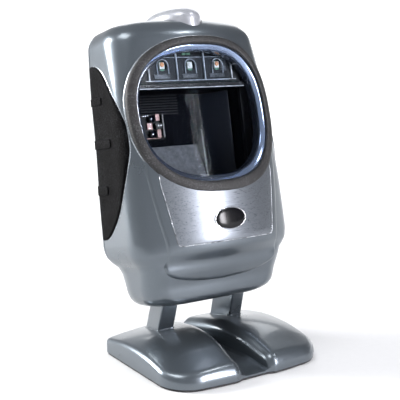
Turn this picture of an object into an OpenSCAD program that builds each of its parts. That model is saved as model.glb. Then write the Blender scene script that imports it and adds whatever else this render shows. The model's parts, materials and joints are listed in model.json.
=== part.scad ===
// Hands-free presentation barcode reader on a two-leg desk stand.
// Millimetres. +Z is up, the window faces -Y, and X = 0 is the left-right mirror plane.
// The origin is the middle of the base footprint, on the table.

/* [Stand] */
// overall width of the base
base_w = 78; // [70:0.1:84]
// front edge of the base, measured forward from the middle
base_front = 31; // [28:0.5:34]
// back edge of the base, measured back from the middle
base_back = 31.5; // [28:0.5:34]
// thickness of the soft pad under the base
pad_t = 1; // [0.8:0.1:1.5]
// width of a leg seen from the front
leg_w = 7.4; // [6.5:0.1:8]
// depth of a leg from front to back
leg_d = 13; // [11:0.5:14]
// how far the legs lean forward going up, in degrees
leg_lean = 15.5; // [13:0.5:18]
// how far each leg face turns outwards, in degrees
leg_turn = 9.5; // [6:0.5:11]

/* [Head] */
// how far the head leans back at rest, in degrees
head_tilt = 12; // [10:0.5:14]
// wall thickness of the housings
wall = 2; // [1.6:0.1:2.4]
// position of the joint line between the front and rear housings
part_v = 28; // [26:0.5:30]
// height of the rounded roof edge above the head origin
roof_w = 88.5; // [86:0.5:90]
// radius of the rounded roof edge
roof_r = 8; // [6:0.5:9]

/* [Window] */
// half width of the bezel around the window
bezel_a = 36.5; // [35:0.1:37]
// half height of the bezel around the window
bezel_h = 33.8; // [32:0.1:34]
// middle of the window above the head origin
bezel_c = 47.8; // [47:0.1:49]
// width of the raised bezel ring
bezel_rim = 5; // [4:0.1:6]

/* [Button] */
// half width of the top button
button_a = 10.5; // [9:0.5:11]
// half length of the top button
button_b = 18.7; // [17:0.1:19.5]
// travel of the top button
button_travel = 1.2; // [0.8:0.1:1.4]

/* [Hinge] */
// diameter of the steel hinge shaft
shaft_d = 5; // [4:0.5:6]
// running clearance on the radius in the hinge bushings
shaft_gap = 0.04; // [0.02:0.01:0.08]

/* [Hidden] */
pivot_z = 35;
pivot_y = 6.5 + (54 - pivot_z) * tan(leg_lean);
head_z = 60;
face_r = 74;
// pivot in head coordinates: v runs back, w runs up along the leaning head
pivot_v = pivot_y * cos(head_tilt) - (pivot_z - head_z) * sin(head_tilt);
pivot_w = pivot_y * sin(head_tilt) + (pivot_z - head_z) * cos(head_tilt);
leg_x = 17.06;
leg_cant = 2;
bottom_w = -32;
button_v = 17.9;
steel = [0.72, 0.73, 0.75];
paint = [0.45, 0.49, 0.52];
black = [0.09, 0.09, 0.10];
board = [0.10, 0.34, 0.20];

// Head section stations along w: half width, front, face radius, corner radius, back, back fullness.
half_w = [[-32, 27.2], [-31, 29.9], [-29.5, 31.8], [-27, 33.4], [-24, 34.2], [-20, 34.8], [-16.5, 35.4],
    [-14, 36.4], [-12, 38], [-9, 39.5], [-4, 40.3], [13, 39.9], [40, 38.6], [60, 38.1], [72, 37.5],
    [86, 36.6]];
front_v = [[-32, 4.6], [-31, 2.8], [-29.5, 1.5], [-27, 0.7], [-24, 0], [-20, -2], [-16.5, -4], [-14, -5.2],
    [-12, -7.2], [-9, -9.6], [-4, -10.4], [13, -10.23], [27, -9.67], [40, -8.8], [60, -6.8],
    [72, -5.2], [86, -3]];
round_r = [[-32, 200], [-20, 180], [-16.5, 150], [-12, 90], [-9, 78], [-4, face_r], [90, face_r]];
corner_r = [[-32, 12], [-28, 10], [60, 10], [72, 12], [86, 15]];
back_v = [[-32, 40.5], [-30, 41.9], [-26, 42.6], [-20, 43.4], [-14, 45.2], [-12, 46.5], [-9, 47.7],
    [-4, 48.5], [40, 48.3], [60, 48.3], [72, 47.4], [86, 45.8]];
full_n = [[-32, 2.2], [-18, 2.2], [-9, 1.8], [13, 1.7], [90, 1.7]];
// where the straight flank ends and the rounded back begins
side_v = [[-32, 18], [-18, 18], [-14, 21], [-12, 24], [-9, 27], [-6, 28], [90, 28]];

function front_at(x, w) = lookup(w, front_v) + lookup(w, round_r) - sqrt(pow(lookup(w, round_r), 2) - x * x);
function arc_start(a, f, r, c) = f + r - sqrt(pow(r - c, 2) - pow(a - c, 2));

// One horizontal section of the head, as points, drawn in by an inset.
function half_ring(a, f, r, c, b, n, w) =
    let (e = lookup(w, side_v), phi = asin((a - c) / (r - c)), yc = arc_start(a, f, r, c))
    concat(
        [for (i = [0:7]) [r * sin(phi * i / 8), f + r - r * cos(phi * i / 8), w]],
        [for (i = [0:6]) let (p = phi + (90 - phi) * i / 6) [a - c + c * sin(p), yc - c * cos(p), w]],
        [[a, (yc + e) / 2, w], [a, e, w]],
        [for (i = [1:9]) let (p = 10 * i) [a * pow(cos(p), 2 / n), e + (b - e) * pow(sin(p), 2 / n), w]]);
function mirror_ring(h) = concat(h, [for (i = [len(h) - 2:-1:1]) [-h[i][0], h[i][1], h[i][2]]]);
function section(w, d) = mirror_ring(half_ring(lookup(w, half_w) - d, lookup(w, front_v) + d,
    lookup(w, round_r), max(lookup(w, corner_r) - d * 0.5, 4), lookup(w, back_v) - d, lookup(w, full_n), w));
function lift(ring, w) = [for (p = ring) [p[0], p[1], w]];
function shrink(ring, k, w) = [for (p = ring) [p[0] * k, 18 + (p[1] - 18) * k, w]];
body_steps = [-32, -31, -29.5, -27, -24, -20, -16.5, -14, -12, -10.5, -9, -6.5, -4, 4, 13, 22, 31, 40,
    50, 60, 68, 75, 80.5];

// Whole outside of the head, grown in or out by an inset.
function head_rings(d) = concat(
    [for (w = body_steps) section(w, d)],
    [for (i = [1:5]) let (q = 18 * i, r = roof_r)
        lift(section(86, d + r * (1 - cos(q))), roof_w - r + (r - d) * sin(q))],
    [for (k = [0.78, 0.52, 0.26, 0.04]) shrink(section(86, d + roof_r), k, roof_w - d + 3 * (1 - k * k))]);

module skin(rings) {
    n = len(rings[0]);
    m = len(rings);
    sides = [for (j = [0:m - 2]) for (i = [0:n - 1]) let (k = (i + 1) % n)
        each [[j * n + i, (j + 1) * n + i, (j + 1) * n + k], [j * n + i, (j + 1) * n + k, j * n + k]]];
    foot = [for (i = [1:n - 2]) [0, i, i + 1]];
    top = [for (i = [1:n - 2]) [(m - 1) * n, (m - 1) * n + i + 1, (m - 1) * n + i]];
    polyhedron(points = [for (r = rings) each r], faces = concat(foot, sides, top));
}

module loop_skin(rings) {
    n = len(rings[0]);
    m = len(rings);
    polyhedron(points = [for (r = rings) each r], faces = [for (j = [0:m - 1]) for (i = [0:n - 1])
        let (k = (i + 1) % n, q = (j + 1) % m)
        each [[j * n + i, q * n + i, q * n + k], [j * n + i, q * n + k, j * n + k]]]);
}

module in_head() {
    translate([0, 0, head_z])
        rotate([-head_tilt, 0, 0])
            children();
}

// Flat sheet seen from the front: drawn in x and w, thick along v from v0 to v1.
module face_plate(v0, v1) {
    translate([0, v1, 0])
        rotate([90, 0, 0])
            linear_extrude(v1 - v0)
                children();
}

module face_box(x0, x1, v0, v1, w0, w1) {
    translate([x0, v0, w0])
        cube([x1 - x0, v1 - v0, w1 - w0]);
}

module v_rod(x, w, d, v0, v1) {
    translate([x, v1, w])
        rotate([90, 0, 0])
            cylinder(h = v1 - v0, d = d, $fn = 32);
}

module x_rod(d, x0, x1) {
    translate([x0, pivot_v, pivot_w])
        rotate([0, 90, 0])
            cylinder(h = x1 - x0, d = d, $fn = 48);
}

module rounded(w, h, r) {
    translate([-w / 2 + r, -h / 2]) square([w - 2 * r, h]);
    translate([-w / 2, -h / 2 + r]) square([w, h - 2 * r]);
    for (x = [-1, 1]) {
        for (y = [-1, 1]) {
            translate([x * (w / 2 - r), y * (h / 2 - r)]) circle(r = r, $fn = 32);
        }
    }
}

// Window outline, drawn in by d: a soft-cornered round a little wider at the top.
function sgn(a) = a < 0 ? -1 : 1;
function oval(t, d) = let (c = cos(t), s = sin(t), n = 2 / 2.45)
    [(bezel_a - d + s) * sgn(c) * pow(abs(c), n), bezel_c + (bezel_h - d) * sgn(s) * pow(abs(s), n)];
function oval_loop(d, depth, n) = [for (i = [0:n - 1]) let (p = oval(360 * i / n, d))
    [p[0], front_at(p[0], p[1]) + depth, p[1]]];

module oval_prism(d, v0, v1) {
    face_plate(v0, v1)
        polygon([for (i = [0:47]) let (p = oval(360 * i / 48, d)) [p[0], p[1]]]);
}

// Chest cover outline in x and w, grown by g.
function chest(g) = [[-33 - g, 24], [-31 - g, 8], [-28.5 - g, -8], [-28.1 - g, -12], [-29.2 - g, -15.5],
    [-28.4 - g, -18 - g], [-22, -20.6 - g], [-12, -22.6 - g], [0, -23.4 - g], [12, -22.6 - g],
    [22, -20.6 - g], [28.4 + g, -18 - g], [29.2 + g, -15.5], [28.1 + g, -12], [28.5 + g, -8], [31 + g, 8], [33 + g, 24]];

// Base.
side_top = [[-32, 4.2], [-28, 4.9], [-20, 6.3], [-15, 7.4], [-10, 8.3], [-5, 9], [0, 9.4], [7, 9.6],
    [14, 9.3], [20, 8.6], [26, 7.6], [33, 6.4]];
dome = [[-32, 2.6], [-26, 3.6], [-20, 4.4], [-14, 4.9], [-8, 5], [0, 4.8], [8, 4.2], [16, 3.4], [33, 2.2]];
function base_top(x, y) = lookup(y, side_top) + lookup(y, dome) * (1 - pow((x - 12) / 27, 2));
edge_r = [[-30, 4], [-18, 2]];
base_x = base_w / 2;
inner_x = [[-32, 6.8], [-22, 6.2], [-14, 5.4], [-4, 4.4], [8, 3.4], [20, 2.4], [33, 1.6]];
valley = [[-32, 1.7], [-24, 2.2], [-15, 3.7], [32, 3.9]];
function front_y(x) = x < 8 ? 1.4 - base_front : x > base_x - 14
    ? -15.5 - sqrt(max(196 - pow(x - base_x + 14, 2), 0)) : 1.5 * pow(x / 25, 2) - base_front;
function back_y(x) = x > base_x - 3.5
    ? base_back - 3.5 + sqrt(max(12.25 - pow(x - base_x + 3.5, 2), 0)) : base_back;
function edge_gap(x, y) = x > base_x - 14 && y < -15.5
    ? 14 - norm([x - base_x + 14, y + 15.5]) : min(base_x - x, y - front_y(x), back_y(x) - y);
function drop(r, d) = d < r ? r - sqrt(max(r * r - pow(r - max(d, 0), 2), 0)) : 0;
function base_z(x, y) = let (i = lookup(y, inner_x), t = base_top(x, y)) x < i + 0.1 ? lookup(y, valley)
    : max(t - drop(min(lookup(y, edge_r), t - pad_t - 1), edge_gap(x, y))
        - drop(min(5, (t - pad_t) * 0.6), x - i - 0.2), pad_t + 0.8);
front_steps = [0, 0.012, 0.04, 0.09, 0.16, 0.3, 0.5, 0.75];
back_steps = [0.35, 0.6, 0.8, 0.9, 0.96, 0.988, 1];
function row_y(j, x) = j < 8 ? front_y(x) * (1 - front_steps[j]) - 9 * front_steps[j]
    : j < 13 ? 5 * (j - 8) - 9 : 11 + (back_y(x) - 11) * back_steps[j - 13];
// Columns of the base surface: along the valley, up its wall, then across the lobe.
function col_x(c, y) = let (i = lookup(y, inner_x)) c == 0 ? 0 : c == 1 ? 0.6 * i : c == 2 ? i
    : c < 8 ? i + [0.2, 0.7, 1.7, 3, 4.8][c - 3]
    : [12.5, 17, 22, 27, 31.5, 35, 37, 38.1, 38.7, base_x][c - 8];
function base_point(j, c, z) = let (x0 = col_x(abs(c), j < 8 ? -20 : 5 * (j - 8) - 9), y = row_y(j, x0),
    x = abs(c) < 8 ? col_x(abs(c), y) : x0) [c < 0 ? -x : x, y, z == 0 ? base_z(x, y) : z];

module base_solid() {
    cols = [-17:17];
    n = 35;
    m = 20;
    top = [for (j = [0:m - 1]) for (c = cols) base_point(j, c, 0)];
    low = [for (j = [0:m - 1]) for (c = cols) base_point(j, c, pad_t + 0.2)];
    q = n * m;
    up = [for (j = [0:m - 2]) for (i = [0:n - 2]) let (a = j * n + i)
        each [[a, a + n, a + n + 1], [a, a + n + 1, a + 1]]];
    down = [for (f = up) [f[2] + q, f[1] + q, f[0] + q]];
    front = [for (i = [0:n - 2]) each [[i, i + 1, i + 1 + q], [i, i + 1 + q, i + q]]];
    back = [for (i = [0:n - 2]) let (a = (m - 1) * n + i)
        each [[a, a + q, a + q + 1], [a, a + q + 1, a + 1]]];
    left = [for (j = [0:m - 2]) let (a = j * n) each [[a, a + q, a + q + n], [a, a + q + n, a + n]]];
    right = [for (j = [0:m - 2]) let (a = j * n + n - 1) each [[a, a + n, a + n + q], [a, a + n + q, a + q]]];
    polyhedron(points = concat(top, low), faces = concat(up, down, front, back, left, right));
}

module both_sides() {
    children();
    mirror([1, 0, 0])
        children();
}

// Flat outline of the whole base, drawn in by about g on the sides.
module base_plan(g) {
    difference() {
        union() {
            translate([-base_x + g, -15.5]) square([base_w - 2 * g, 15.5 + base_back - g]);
            translate([-base_x + 14, -29.5 + g]) square([base_w - 28, 30]);
            for (s = [-1, 1]) {
                translate([s * (base_x - 14), -15.5]) circle(r = 14 - g, $fn = 48);
            }
        }
        translate([-4, -40]) square([8, 11.2 + g]);
    }
}

// A leg without its bore, grown by g, in stand coordinates.
module leg_blade(s, g) {
    translate([s * leg_x, pivot_y, pivot_z])
        rotate([leg_lean, 0, 0])
            rotate([0, -s * leg_cant, 0])
                rotate([0, 0, s * leg_turn])
                    translate([0, 0, -36.5])
                        linear_extrude(36.5)
                            rounded(leg_w + 2 * g, leg_d + 2 * g, 0.9);
}

module pivot_rod(d, x0, x1) {
    translate([x0, pivot_y, pivot_z])
        rotate([0, 90, 0])
            cylinder(h = x1 - x0, d = d, $fn = 48);
}

module base_shell() {
    color(paint) resize([0, 0, 0]) difference() {
        base_solid();
        linear_extrude(2.6) ballast_plan(0.4);
        for (s = [-1, 1]) {
            translate([s * 18.5 - 11.8, -13.3, 0]) cube([23.6, 40.6, 4.3]);
            translate([s * 17.5 - 11.5, -0.9, 0]) cube([23, 26.6, 6.5]);
            for (x = [10, 24]) {
                translate([s * x, -9, 0]) cylinder(h = 7, d = 2.6, $fn = 24);
            }
            leg_blade(s, 0.25);
        }
    }
}

module ballast_plan(g) {
    translate([-30 - g, -13 - g]) square([60 + 2 * g, 40 + 2 * g]);
}

module ballast_plate() {
    color(steel) difference() {
        union() {
            translate([0, 0, pad_t + 0.2]) linear_extrude(1.2) ballast_plan(0);
            for (s = [-1, 1]) {
                translate([s * 18.5 - 11.5, -13, pad_t + 0.2]) cube([23, 40, 2.8]);
                translate([s * 17.5 - 11.2, -0.5, pad_t + 0.2]) cube([22.4, 25.8, 5]);
            }
        }
        for (s = [-1, 1]) {
            translate([s * 18.2 - 6.2, 11, 3]) cube([12.4, 17, 6]);
            translate([s * 18.2, 20, 0]) cylinder(h = 10, d = 3.2, $fn = 32);
            translate([s * 18.2, 20, 0]) cylinder(h = 2.4, d = 6.2, $fn = 32);
            for (x = [10, 24]) {
                translate([s * x, -9, 0]) cylinder(h = 10, d = 2.6, $fn = 32);
                translate([s * x, -9, 0]) cylinder(h = 2.6, d = 5, $fn = 32);
            }
        }
    }
}

module base_pad() {
    color([0.42, 0.33, 0.31]) linear_extrude(pad_t) base_plan(0.9);
}

module leg_part(s) {
    difference() {
        union() {
            leg_blade(s, 0);
            pivot_rod(14, s * leg_x - 3.7, s * leg_x + 3.7);
        }
        translate([-50, -50, -10]) cube([100, 100, 13.4]);
        for (x = [-9, 3.7]) {
            pivot_rod(15.8, s * leg_x + x, s * leg_x + x + 5.3);
        }
        pivot_rod(shaft_d, s * leg_x - 9, s * leg_x + 9);
        translate([s * 18.2, 20, -1]) cylinder(h = 12, d = 2.5, $fn = 32);
    }
}

module leg_left() {
    color(paint) leg_part(-1);
}

module leg_right() {
    color(paint) leg_part(1);
}

module leg_screw() {
    color(steel) {
        translate([0, 0, pad_t + 0.1]) cylinder(h = 1.2, d = 5.4, $fn = 32);
        translate([0, 0, pad_t + 0.4]) cylinder(h = 8.8, d = 2.4, $fn = 32);
    }
}

module leg_screws() {
    for (s = [-1, 1]) {
        translate([s * 18.2, 20, 0]) leg_screw();
    }
}

module base_screws() {
    color(steel) for (s = [-1, 1]) {
        for (x = [10, 24]) {
            translate([s * x, -9, 1.25]) cylinder(h = 1.3, d = 4.6, $fn = 32);
            translate([s * x, -9, 1.5]) cylinder(h = 5.2, d = 2.5, $fn = 32);
        }
    }
}

module hinge_shaft() {
    color(steel) difference() {
        pivot_rod(shaft_d, -27, 27);
        for (s = [-1, 1]) {
            pivot_groove(s);
        }
    }
}

module pivot_groove(s) {
    difference() {
        pivot_rod(shaft_d + 2, s * 25.9 - 0.45, s * 25.9 + 0.45);
        pivot_rod(shaft_d - 1, s * 25.9 - 1, s * 25.9 + 1);
    }
}

module shaft_clips() {
    color(steel) for (s = [-1, 1]) {
        difference() {
            pivot_rod(9, s * 25.9 - 0.35, s * 25.9 + 0.35);
            pivot_rod(shaft_d - 0.9, s * 25.9 - 1, s * 25.9 + 1);
            translate([s * 25.9 - 1, pivot_y - 1.7, pivot_z - 6]) cube([2, 3.4, 6]);
        }
    }
}

// Head shell before it is cut into front and rear.
module shell() {
    difference() {
        skin(head_rings(0));
        skin(concat([lift(section(bottom_w, wall + 1.2), -40)], head_rings(wall)));
    }
}

module button_hole(g) {
    translate([0, button_v, 70])
        linear_extrude(30)
            polygon([for (i = [0:47]) [(button_a + g) * cos(7.5 * i), (button_b + g) * sin(7.5 * i)]]);
}

module screw_spots() {
    for (p = [[-27, 8], [27, 8], [-24, 74], [24, 74]]) {
        translate([p[0], 0, p[1]]) children();
    }
}

module front_housing() {
    color(paint) in_head() resize([0, 0, 0]) difference() {
        shell();
        face_box(-60, 60, part_v - 0.1, 90, -60, 120);
        oval_prism(2.2, -30, 14);
        button_hole(0.5);
        face_plate(-30, 12) polygon([for (p = chest(-3)) [p[0], min(p[1], 12)]]);
    }
}

module rear_housing() {
    color(paint) in_head() resize([0, 0, 0]) difference() {
        union() {
            shell();
            // bosses that the housing screws pull against the posts
            intersection() {
                skin(head_rings(0.4));
                screw_spots() v_rod(0, 0, 9, 33.9, 60);
            }
        }
        face_box(-60, 60, -60, part_v + 0.1, -60, 120);
        button_hole(0.5);
        face_box(-7.5, 7.5, 30, 60, -24.5, -12.5);
        screw_spots() {
            v_rod(0, 0, 6.4, 34.85, 60);
            v_rod(0, 0, 2.6, 30, 60);
        }
        for (w = [50, 54, 58]) {
            face_box(-6, 6, 40, 60, w - 0.8, w + 0.8);
        }
    }
}

module bottom_cover() {
    color(black) in_head() difference() {
        translate([0, 0, bottom_w + 0.3]) linear_extrude(2)
            polygon([for (p = section(bottom_w, wall + 0.4)) [p[0], p[1]]]);
        for (s = [-1, 1]) {
            translate([0, 0, bottom_w - 5]) linear_extrude(12)
                polygon([[s * 12.6, 11.2], [s * 40, 11.2], [s * 40, 31.5], [s * 11.6, 31.5]]);
        }
        for (v = [10.5, 27]) {
            translate([0, v, bottom_w - 5]) cylinder(h = 10, d = 2.8, $fn = 32);
            translate([0, v, bottom_w - 5]) cylinder(h = 6.2, d = 5.2, $fn = 32);
        }
    }
}

module cover_screws() {
    color(steel) in_head() for (v = [10.5, 27]) {
        translate([0, v, bottom_w + 0.3]) cylinder(h = 0.85, d = 4.8, $fn = 32);
        translate([0, v, bottom_w + 0.5]) cylinder(h = 9, d = 2.4, $fn = 32);
    }
}

// Strip that follows the front face between two side limits, from one height to another.
function strip_ring(w, x0, x1, out, into, n) = concat(
    [for (i = [0:n]) let (x = x0 + (x1 - x0) * i / n) [x, front_at(x, w) - out, w]],
    [for (i = [n:-1:0]) let (x = x0 + (x1 - x0) * i / n) [x, front_at(x, w) + into, w]]);

function chest_half(w) = lookup(w, [[-23.4, 2], [-23, 8], [-22.2, 14], [-21, 20], [-19.4, 25], [-18, 28],
    [-15.5, 29.2], [-12, 28.2], [-8, 28.5], [8, 31], [24, 33]]);
function lip(w) = lookup(w, [[-23.4, 1.1], [-19, 1.2], [-15, 0.7], [-10, 0.7], [24, 0.7]]);

module chest_cover() {
    color(paint) in_head() resize([0, 0, 0]) difference() {
        skin([for (w = [-23.4, -23, -22.2, -21, -19.4, -18, -15.5, -14, -12, -9, -4, 4, 12, 18, 23])
            strip_ring(w, -chest_half(w), chest_half(w), lip(w), -0.05, 16)]);
        oval_prism(-0.2, -30, 30);
        translate([0, -10.9, 2.3]) rotate([90, 0, 0]) linear_extrude(3)
            polygon([for (i = [0:23]) [8.2 * cos(15 * i), 5.2 * sin(15 * i)]]);
    }
}

function label_half(w) = lookup(w, [[-6.9, 21.5], [-6.4, 23.5], [-5.4, 24.6], [20, 28.4]]);

module label_panel() {
    color(paint) in_head() resize([0, 0, 0]) difference() {
        skin([for (w = [-6.9, -6.4, -5.4, 0, 6, 12, 19])
            strip_ring(w, -label_half(w), label_half(w), 1, -0.86, 16)]);
        oval_prism(-0.2, -30, 30);
        translate([0, -10.9, 2.3]) rotate([90, 0, 0]) linear_extrude(3)
            polygon([for (i = [0:23]) [8.2 * cos(15 * i), 5.2 * sin(15 * i)]]);
    }
}

// Ring that follows the window outline. Each profile entry is [drawn in, behind the face].
module oval_sweep(profile, n) {
    loop_skin([for (p = profile) oval_loop(p[0], p[1], n)]);
}

module window_bezel() {
    color(black) in_head() resize([0, 0, 0])
        oval_sweep([[2.6, 2.2], [2.6, -0.12], [0, -0.12], [0, -0.7], [0.5, -1.2], [1.4, -1.5], [3.4, -1.4],
            [4.4, -0.9], [5, -0.1], [bezel_rim + 0.1, 2.2]], 64);
}

module window_rim() {
    color([0.30, 0.33, 0.38]) in_head() resize([0, 0, 0])
        oval_sweep([[4.2, 7], [4.2, 2.4], [5.3, 2.4], [5.3, 0.5], [6, 0.3], [6.6, 0.9], [6.8, 7]], 64);
}

function lens_ring(k, depth) = [for (i = [47:-1:0]) let (p = oval(7.5 * i, 7), x = p[0] * k,
    w = bezel_c + (p[1] - bezel_c) * k) [x, front_at(x, w) + depth, w]];

module window_lens() {
    color([0.75, 0.85, 0.92, 0.35]) in_head() resize([0, 0, 0])
        skin(concat([for (k = [0.05, 0.35, 0.65, 0.9, 1]) lens_ring(k, 1.2)],
            [for (k = [1, 0.9, 0.65, 0.35, 0.05]) lens_ring(k, 2.7)]));
}

// Side grips: rubber pads let into the flanks, bounded by a curved front edge.
grip_front = [[-1.6, 25], [-1, 22.5], [2.1, 17.5], [9.4, 10.5], [17.1, 6.2], [27.3, 3], [35, 1.8],
    [44.5, 2.6], [52.3, 5.5], [61.8, 11.2], [69.8, 17.5], [73, 23], [73.6, 26]];
function flank_x(v, w) = let (a = lookup(w, half_w), c = lookup(w, corner_r),
    yc = arc_start(a, lookup(w, front_v), lookup(w, round_r), c))
    v >= yc ? a : a - c + sqrt(max(c * c - (yc - v) * (yc - v), 0));
function grip_ring(w, out) = let (f = lookup(w, grip_front), b = part_v - 0.3, n = 8)
    [for (i = [0:n]) let (v = f + (b - f) * pow(i / n, 1.3)) [flank_x(v, w) + (i == 0 ? 0.35 : out), v, w],
        for (i = [n:-1:0]) let (v = f + (b - f) * pow(i / n, 1.3)) [flank_x(v, w) + 0.2, v, w]];
grip_steps = [-1.6, -1, 0.4, 2.1, 5, 9.4, 17.1, 27.3, 35, 44.5, 52.3, 61.8, 66, 69.8, 72, 73, 73.6];

module grip_pad() {
    skin([for (w = grip_steps) grip_ring(w, w < -1.2 || w > 73.2 ? 0.35 : 0.8)]);
    for (b = [[57.5, 17], [39, 15.5], [19.5, 16.5]]) {
        side = lookup(b[0], half_w);
        face_box(side + 0.5, side + 1.5, b[1], part_v - 0.3, b[0] - 2, b[0] + 2);
    }
}

module grip_right() {
    color(black) in_head() resize([0, 0, 0]) grip_pad();
}

module grip_left() {
    color(black) in_head() resize([0, 0, 0]) mirror([1, 0, 0]) grip_pad();
}

// Oval name badge without lettering.
module badge_rim() {
    color(steel) in_head() translate([0, -10.95, 2.3]) rotate([90, 0, 0]) resize([16, 10, 0.9]) difference() {
        cylinder(h = 0.9, r = 8, $fn = 64);
        translate([0, 0, -1]) cylinder(h = 3, r = 7.3, $fn = 64);
    }
}

module badge_dome() {
    color(black) in_head() translate([0, -10.95, 2.3]) rotate([90, 0, 0]) resize([14.2, 8.8, 1.3])
        intersection() {
            translate([0, 0, -19]) sphere(r = 20.5, $fn = 64);
            cylinder(h = 3, r = 7.1, $fn = 64);
        }
}

// Carrier frame behind the window. Everything inside the head bolts to it.
module chassis() {
    color(black) in_head() difference() {
        union() {
            face_plate(8.8, 10.8) translate([0, 36.5]) rounded(62, 90, 9);
            face_box(-27, 27, 7, 27.5, -10.4, -8.4);
            screw_spots() v_rod(0, 0, 6, 10, 33.8);
            for (x = [-9, 9]) {
                translate([x, 22, 62.5]) cylinder(h = 9.3, d = 4, $fn = 32);
                face_box(x - 2, x + 2, 10, 22, 63, 65);
            }
            for (v = [10.5, 27]) {
                translate([0, v, bottom_w + 2.4]) cylinder(h = 20.5, d = 5, $fn = 32);
            }
        }
        face_plate(0, 12) polygon([[-27, 21], [27, 21], [27, 60], [22, 60.6], [-22, 60.6], [-27, 60]]);
        screw_spots() v_rod(0, 0, 2.2, 14, 40);
        for (s = [-1, 1]) {
            for (v = [10, 24]) {
                translate([s * 19, v, -14]) cylinder(h = 7, d = 2.2, $fn = 32);
            }
        }
        for (v = [10.5, 27]) {
            translate([0, v, bottom_w]) cylinder(h = 12, d = 2.45, $fn = 32);
        }
    }
}

module light_chamber() {
    color([0.05, 0.05, 0.06]) in_head() difference() {
        face_box(-28.2, 28.2, 10.9, 31, 19.8, 61.8);
        face_box(-27, 27, 10, 29.8, 21, 60.6);
        face_box(-17.2, -1.2, 20, 40, 38.4, 54.4);
    }
}

module chamber_ramp() {
    color([0.35, 0.36, 0.38]) in_head() {
        translate([-26.8, 0, 0]) rotate([90, 0, 90]) linear_extrude(32.4)
            polygon([[11.2, 21.1], [12.4, 21.1], [16.6, 35.2], [15.8, 36.2]]);
        translate([5.7, 0, 0]) rotate([90, 0, 90]) linear_extrude(1)
            polygon([[11.2, 21.1], [13.4, 21.1], [16.8, 36.2], [12.6, 42.4], [12.2, 41.6]]);
    }
}

module fold_mirror() {
    color([0.10, 0.11, 0.14]) in_head() translate([13.5, 27.4, 21.4]) rotate([0, 0, -52])
        cube([17, 1.2, 38.6]);
}

module led_board() {
    color(board) in_head() difference() {
        face_plate(7.4, 8.6) translate([0, 70]) rounded(50, 16, 1.5);
        for (x = [-23.4, 23.4]) {
            v_rod(x, 66, 1.7, 6, 10);
        }
    }
}

module led_emitters() {
    color([0.95, 0.85, 0.6]) in_head() {
        for (x = [-14.2, 0, 14.2]) {
            face_box(x - 1.5, x + 1.5, 6.4, 7.38, 68.4, 71.4);
        }
    }
}

module led_tray() {
    color([0.20, 0.21, 0.23]) in_head() difference() {
        face_plate(5.4, 7.35) polygon([[-25.6, 61.2], [25.6, 61.2], [25.6, 66], [21.4, 72], [17, 76.2],
            [-17, 76.2], [-21.4, 72], [-25.6, 66]]);
        for (x = [-14.2, 0, 14.2]) {
            face_box(x - 6.7, x + 6.7, 5, 6.2, 63, 78);
            v_rod(x, 69.9, 8.4, 5, 9);
        }
    }
}

module led_cover() {
    color([0.85, 0.90, 0.95, 0.35]) in_head() face_plate(4.4, 5.3)
        polygon([[-19, 62.6], [19, 62.6], [19, 70.6], [13, 74.2], [-13, 74.2], [-19, 70.6]]);
}

module camera_module() {
    color([0.55, 0.40, 0.34]) in_head() difference() {
        union() {
            face_box(-16.6, -2.8, 26, 29.6, 40, 52.8);
            face_box(-15.6, -3.8, 29.5, 33, 41, 51.8);
        }
        for (w = [43.4, 49.4]) {
            v_rod(-8.4, w, 3.6, 25, 28.6);
        }
        v_rod(-5.2, 46.4, 2.6, 25, 28.6);
    }
}

module camera_lenses() {
    color([0.12, 0.14, 0.22]) in_head() {
        for (w = [43.4, 49.4]) {
            v_rod(-8.4, w, 3.5, 26.8, 28.5);
        }
        v_rod(-5.2, 46.4, 2.5, 26.8, 28.5);
    }
}

module main_board() {
    color(board) in_head() difference() {
        face_plate(34, 35.6) translate([0, 37.5]) rounded(52, 78, 2);
        screw_spots() v_rod(0, 0, 9.8, 30, 40);
        for (x = [-20, 20]) {
            v_rod(x, 30, 2.2, 30, 40);
        }
    }
}

module board_parts() {
    color([0.13, 0.13, 0.14]) in_head() {
        face_box(-18, -6, 35.65, 36.9, 30, 42);
        face_box(4, 12, 35.65, 36.7, 12, 22);
        face_box(6, 16, 35.65, 36.7, 52, 60);
        face_box(-14, -8, 35.65, 37.4, 10, 16);
    }
}

module board_shield() {
    color(steel) in_head() difference() {
        face_box(0, 18, 35.65, 38.2, 28, 46);
        face_box(0.4, 17.6, 35, 37.8, 28.4, 45.6);
    }
}

module beeper() {
    color(black) in_head() difference() {
        v_rod(-6, 61, 11, 35.65, 41);
        v_rod(-6, 61, 2, 40, 42);
    }
}

module cable_socket() {
    color(black) in_head() difference() {
        union() {
            face_box(-7.2, 7.2, 31, 41.6, -24.2, -12.8);
            face_box(-4, 4, 35.65, 37.6, -13, 6);
        }
        face_box(-5.8, 5.8, 32.5, 50, -22.8, -14.6);
    }
}

module socket_contacts() {
    color([0.85, 0.68, 0.30]) in_head() {
        for (i = [-3.5:1:3.5]) {
            face_box(i - 0.22, i + 0.22, 32.55, 38.5, -22.75, -22.3);
        }
    }
}

module hinge_bracket() {
    color(steel) in_head() difference() {
        union() {
            face_box(-26, 26, 7.5, 26.5, -12, -10.5);
            for (s = [-1, 1]) {
                face_box(s * 23.25 - 0.75, s * 23.25 + 0.75, pivot_v - 6.5, pivot_v + 6.5, pivot_w, -11);
                x_rod(13, s * 23.25 - 0.75, s * 23.25 + 0.75);
            }
        }
        for (v = [10.5, 27]) {
            translate([0, v, -14]) cylinder(h = 6, d = 5.8, $fn = 32);
        }
        for (s = [-1, 1]) {
            x_rod(7, s * 23.25 - 2, s * 23.25 + 2);
            for (v = [10, 24]) {
                translate([s * 19, v, -14]) cylinder(h = 6, d = 2.4, $fn = 32);
            }
        }
    }
}

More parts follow.
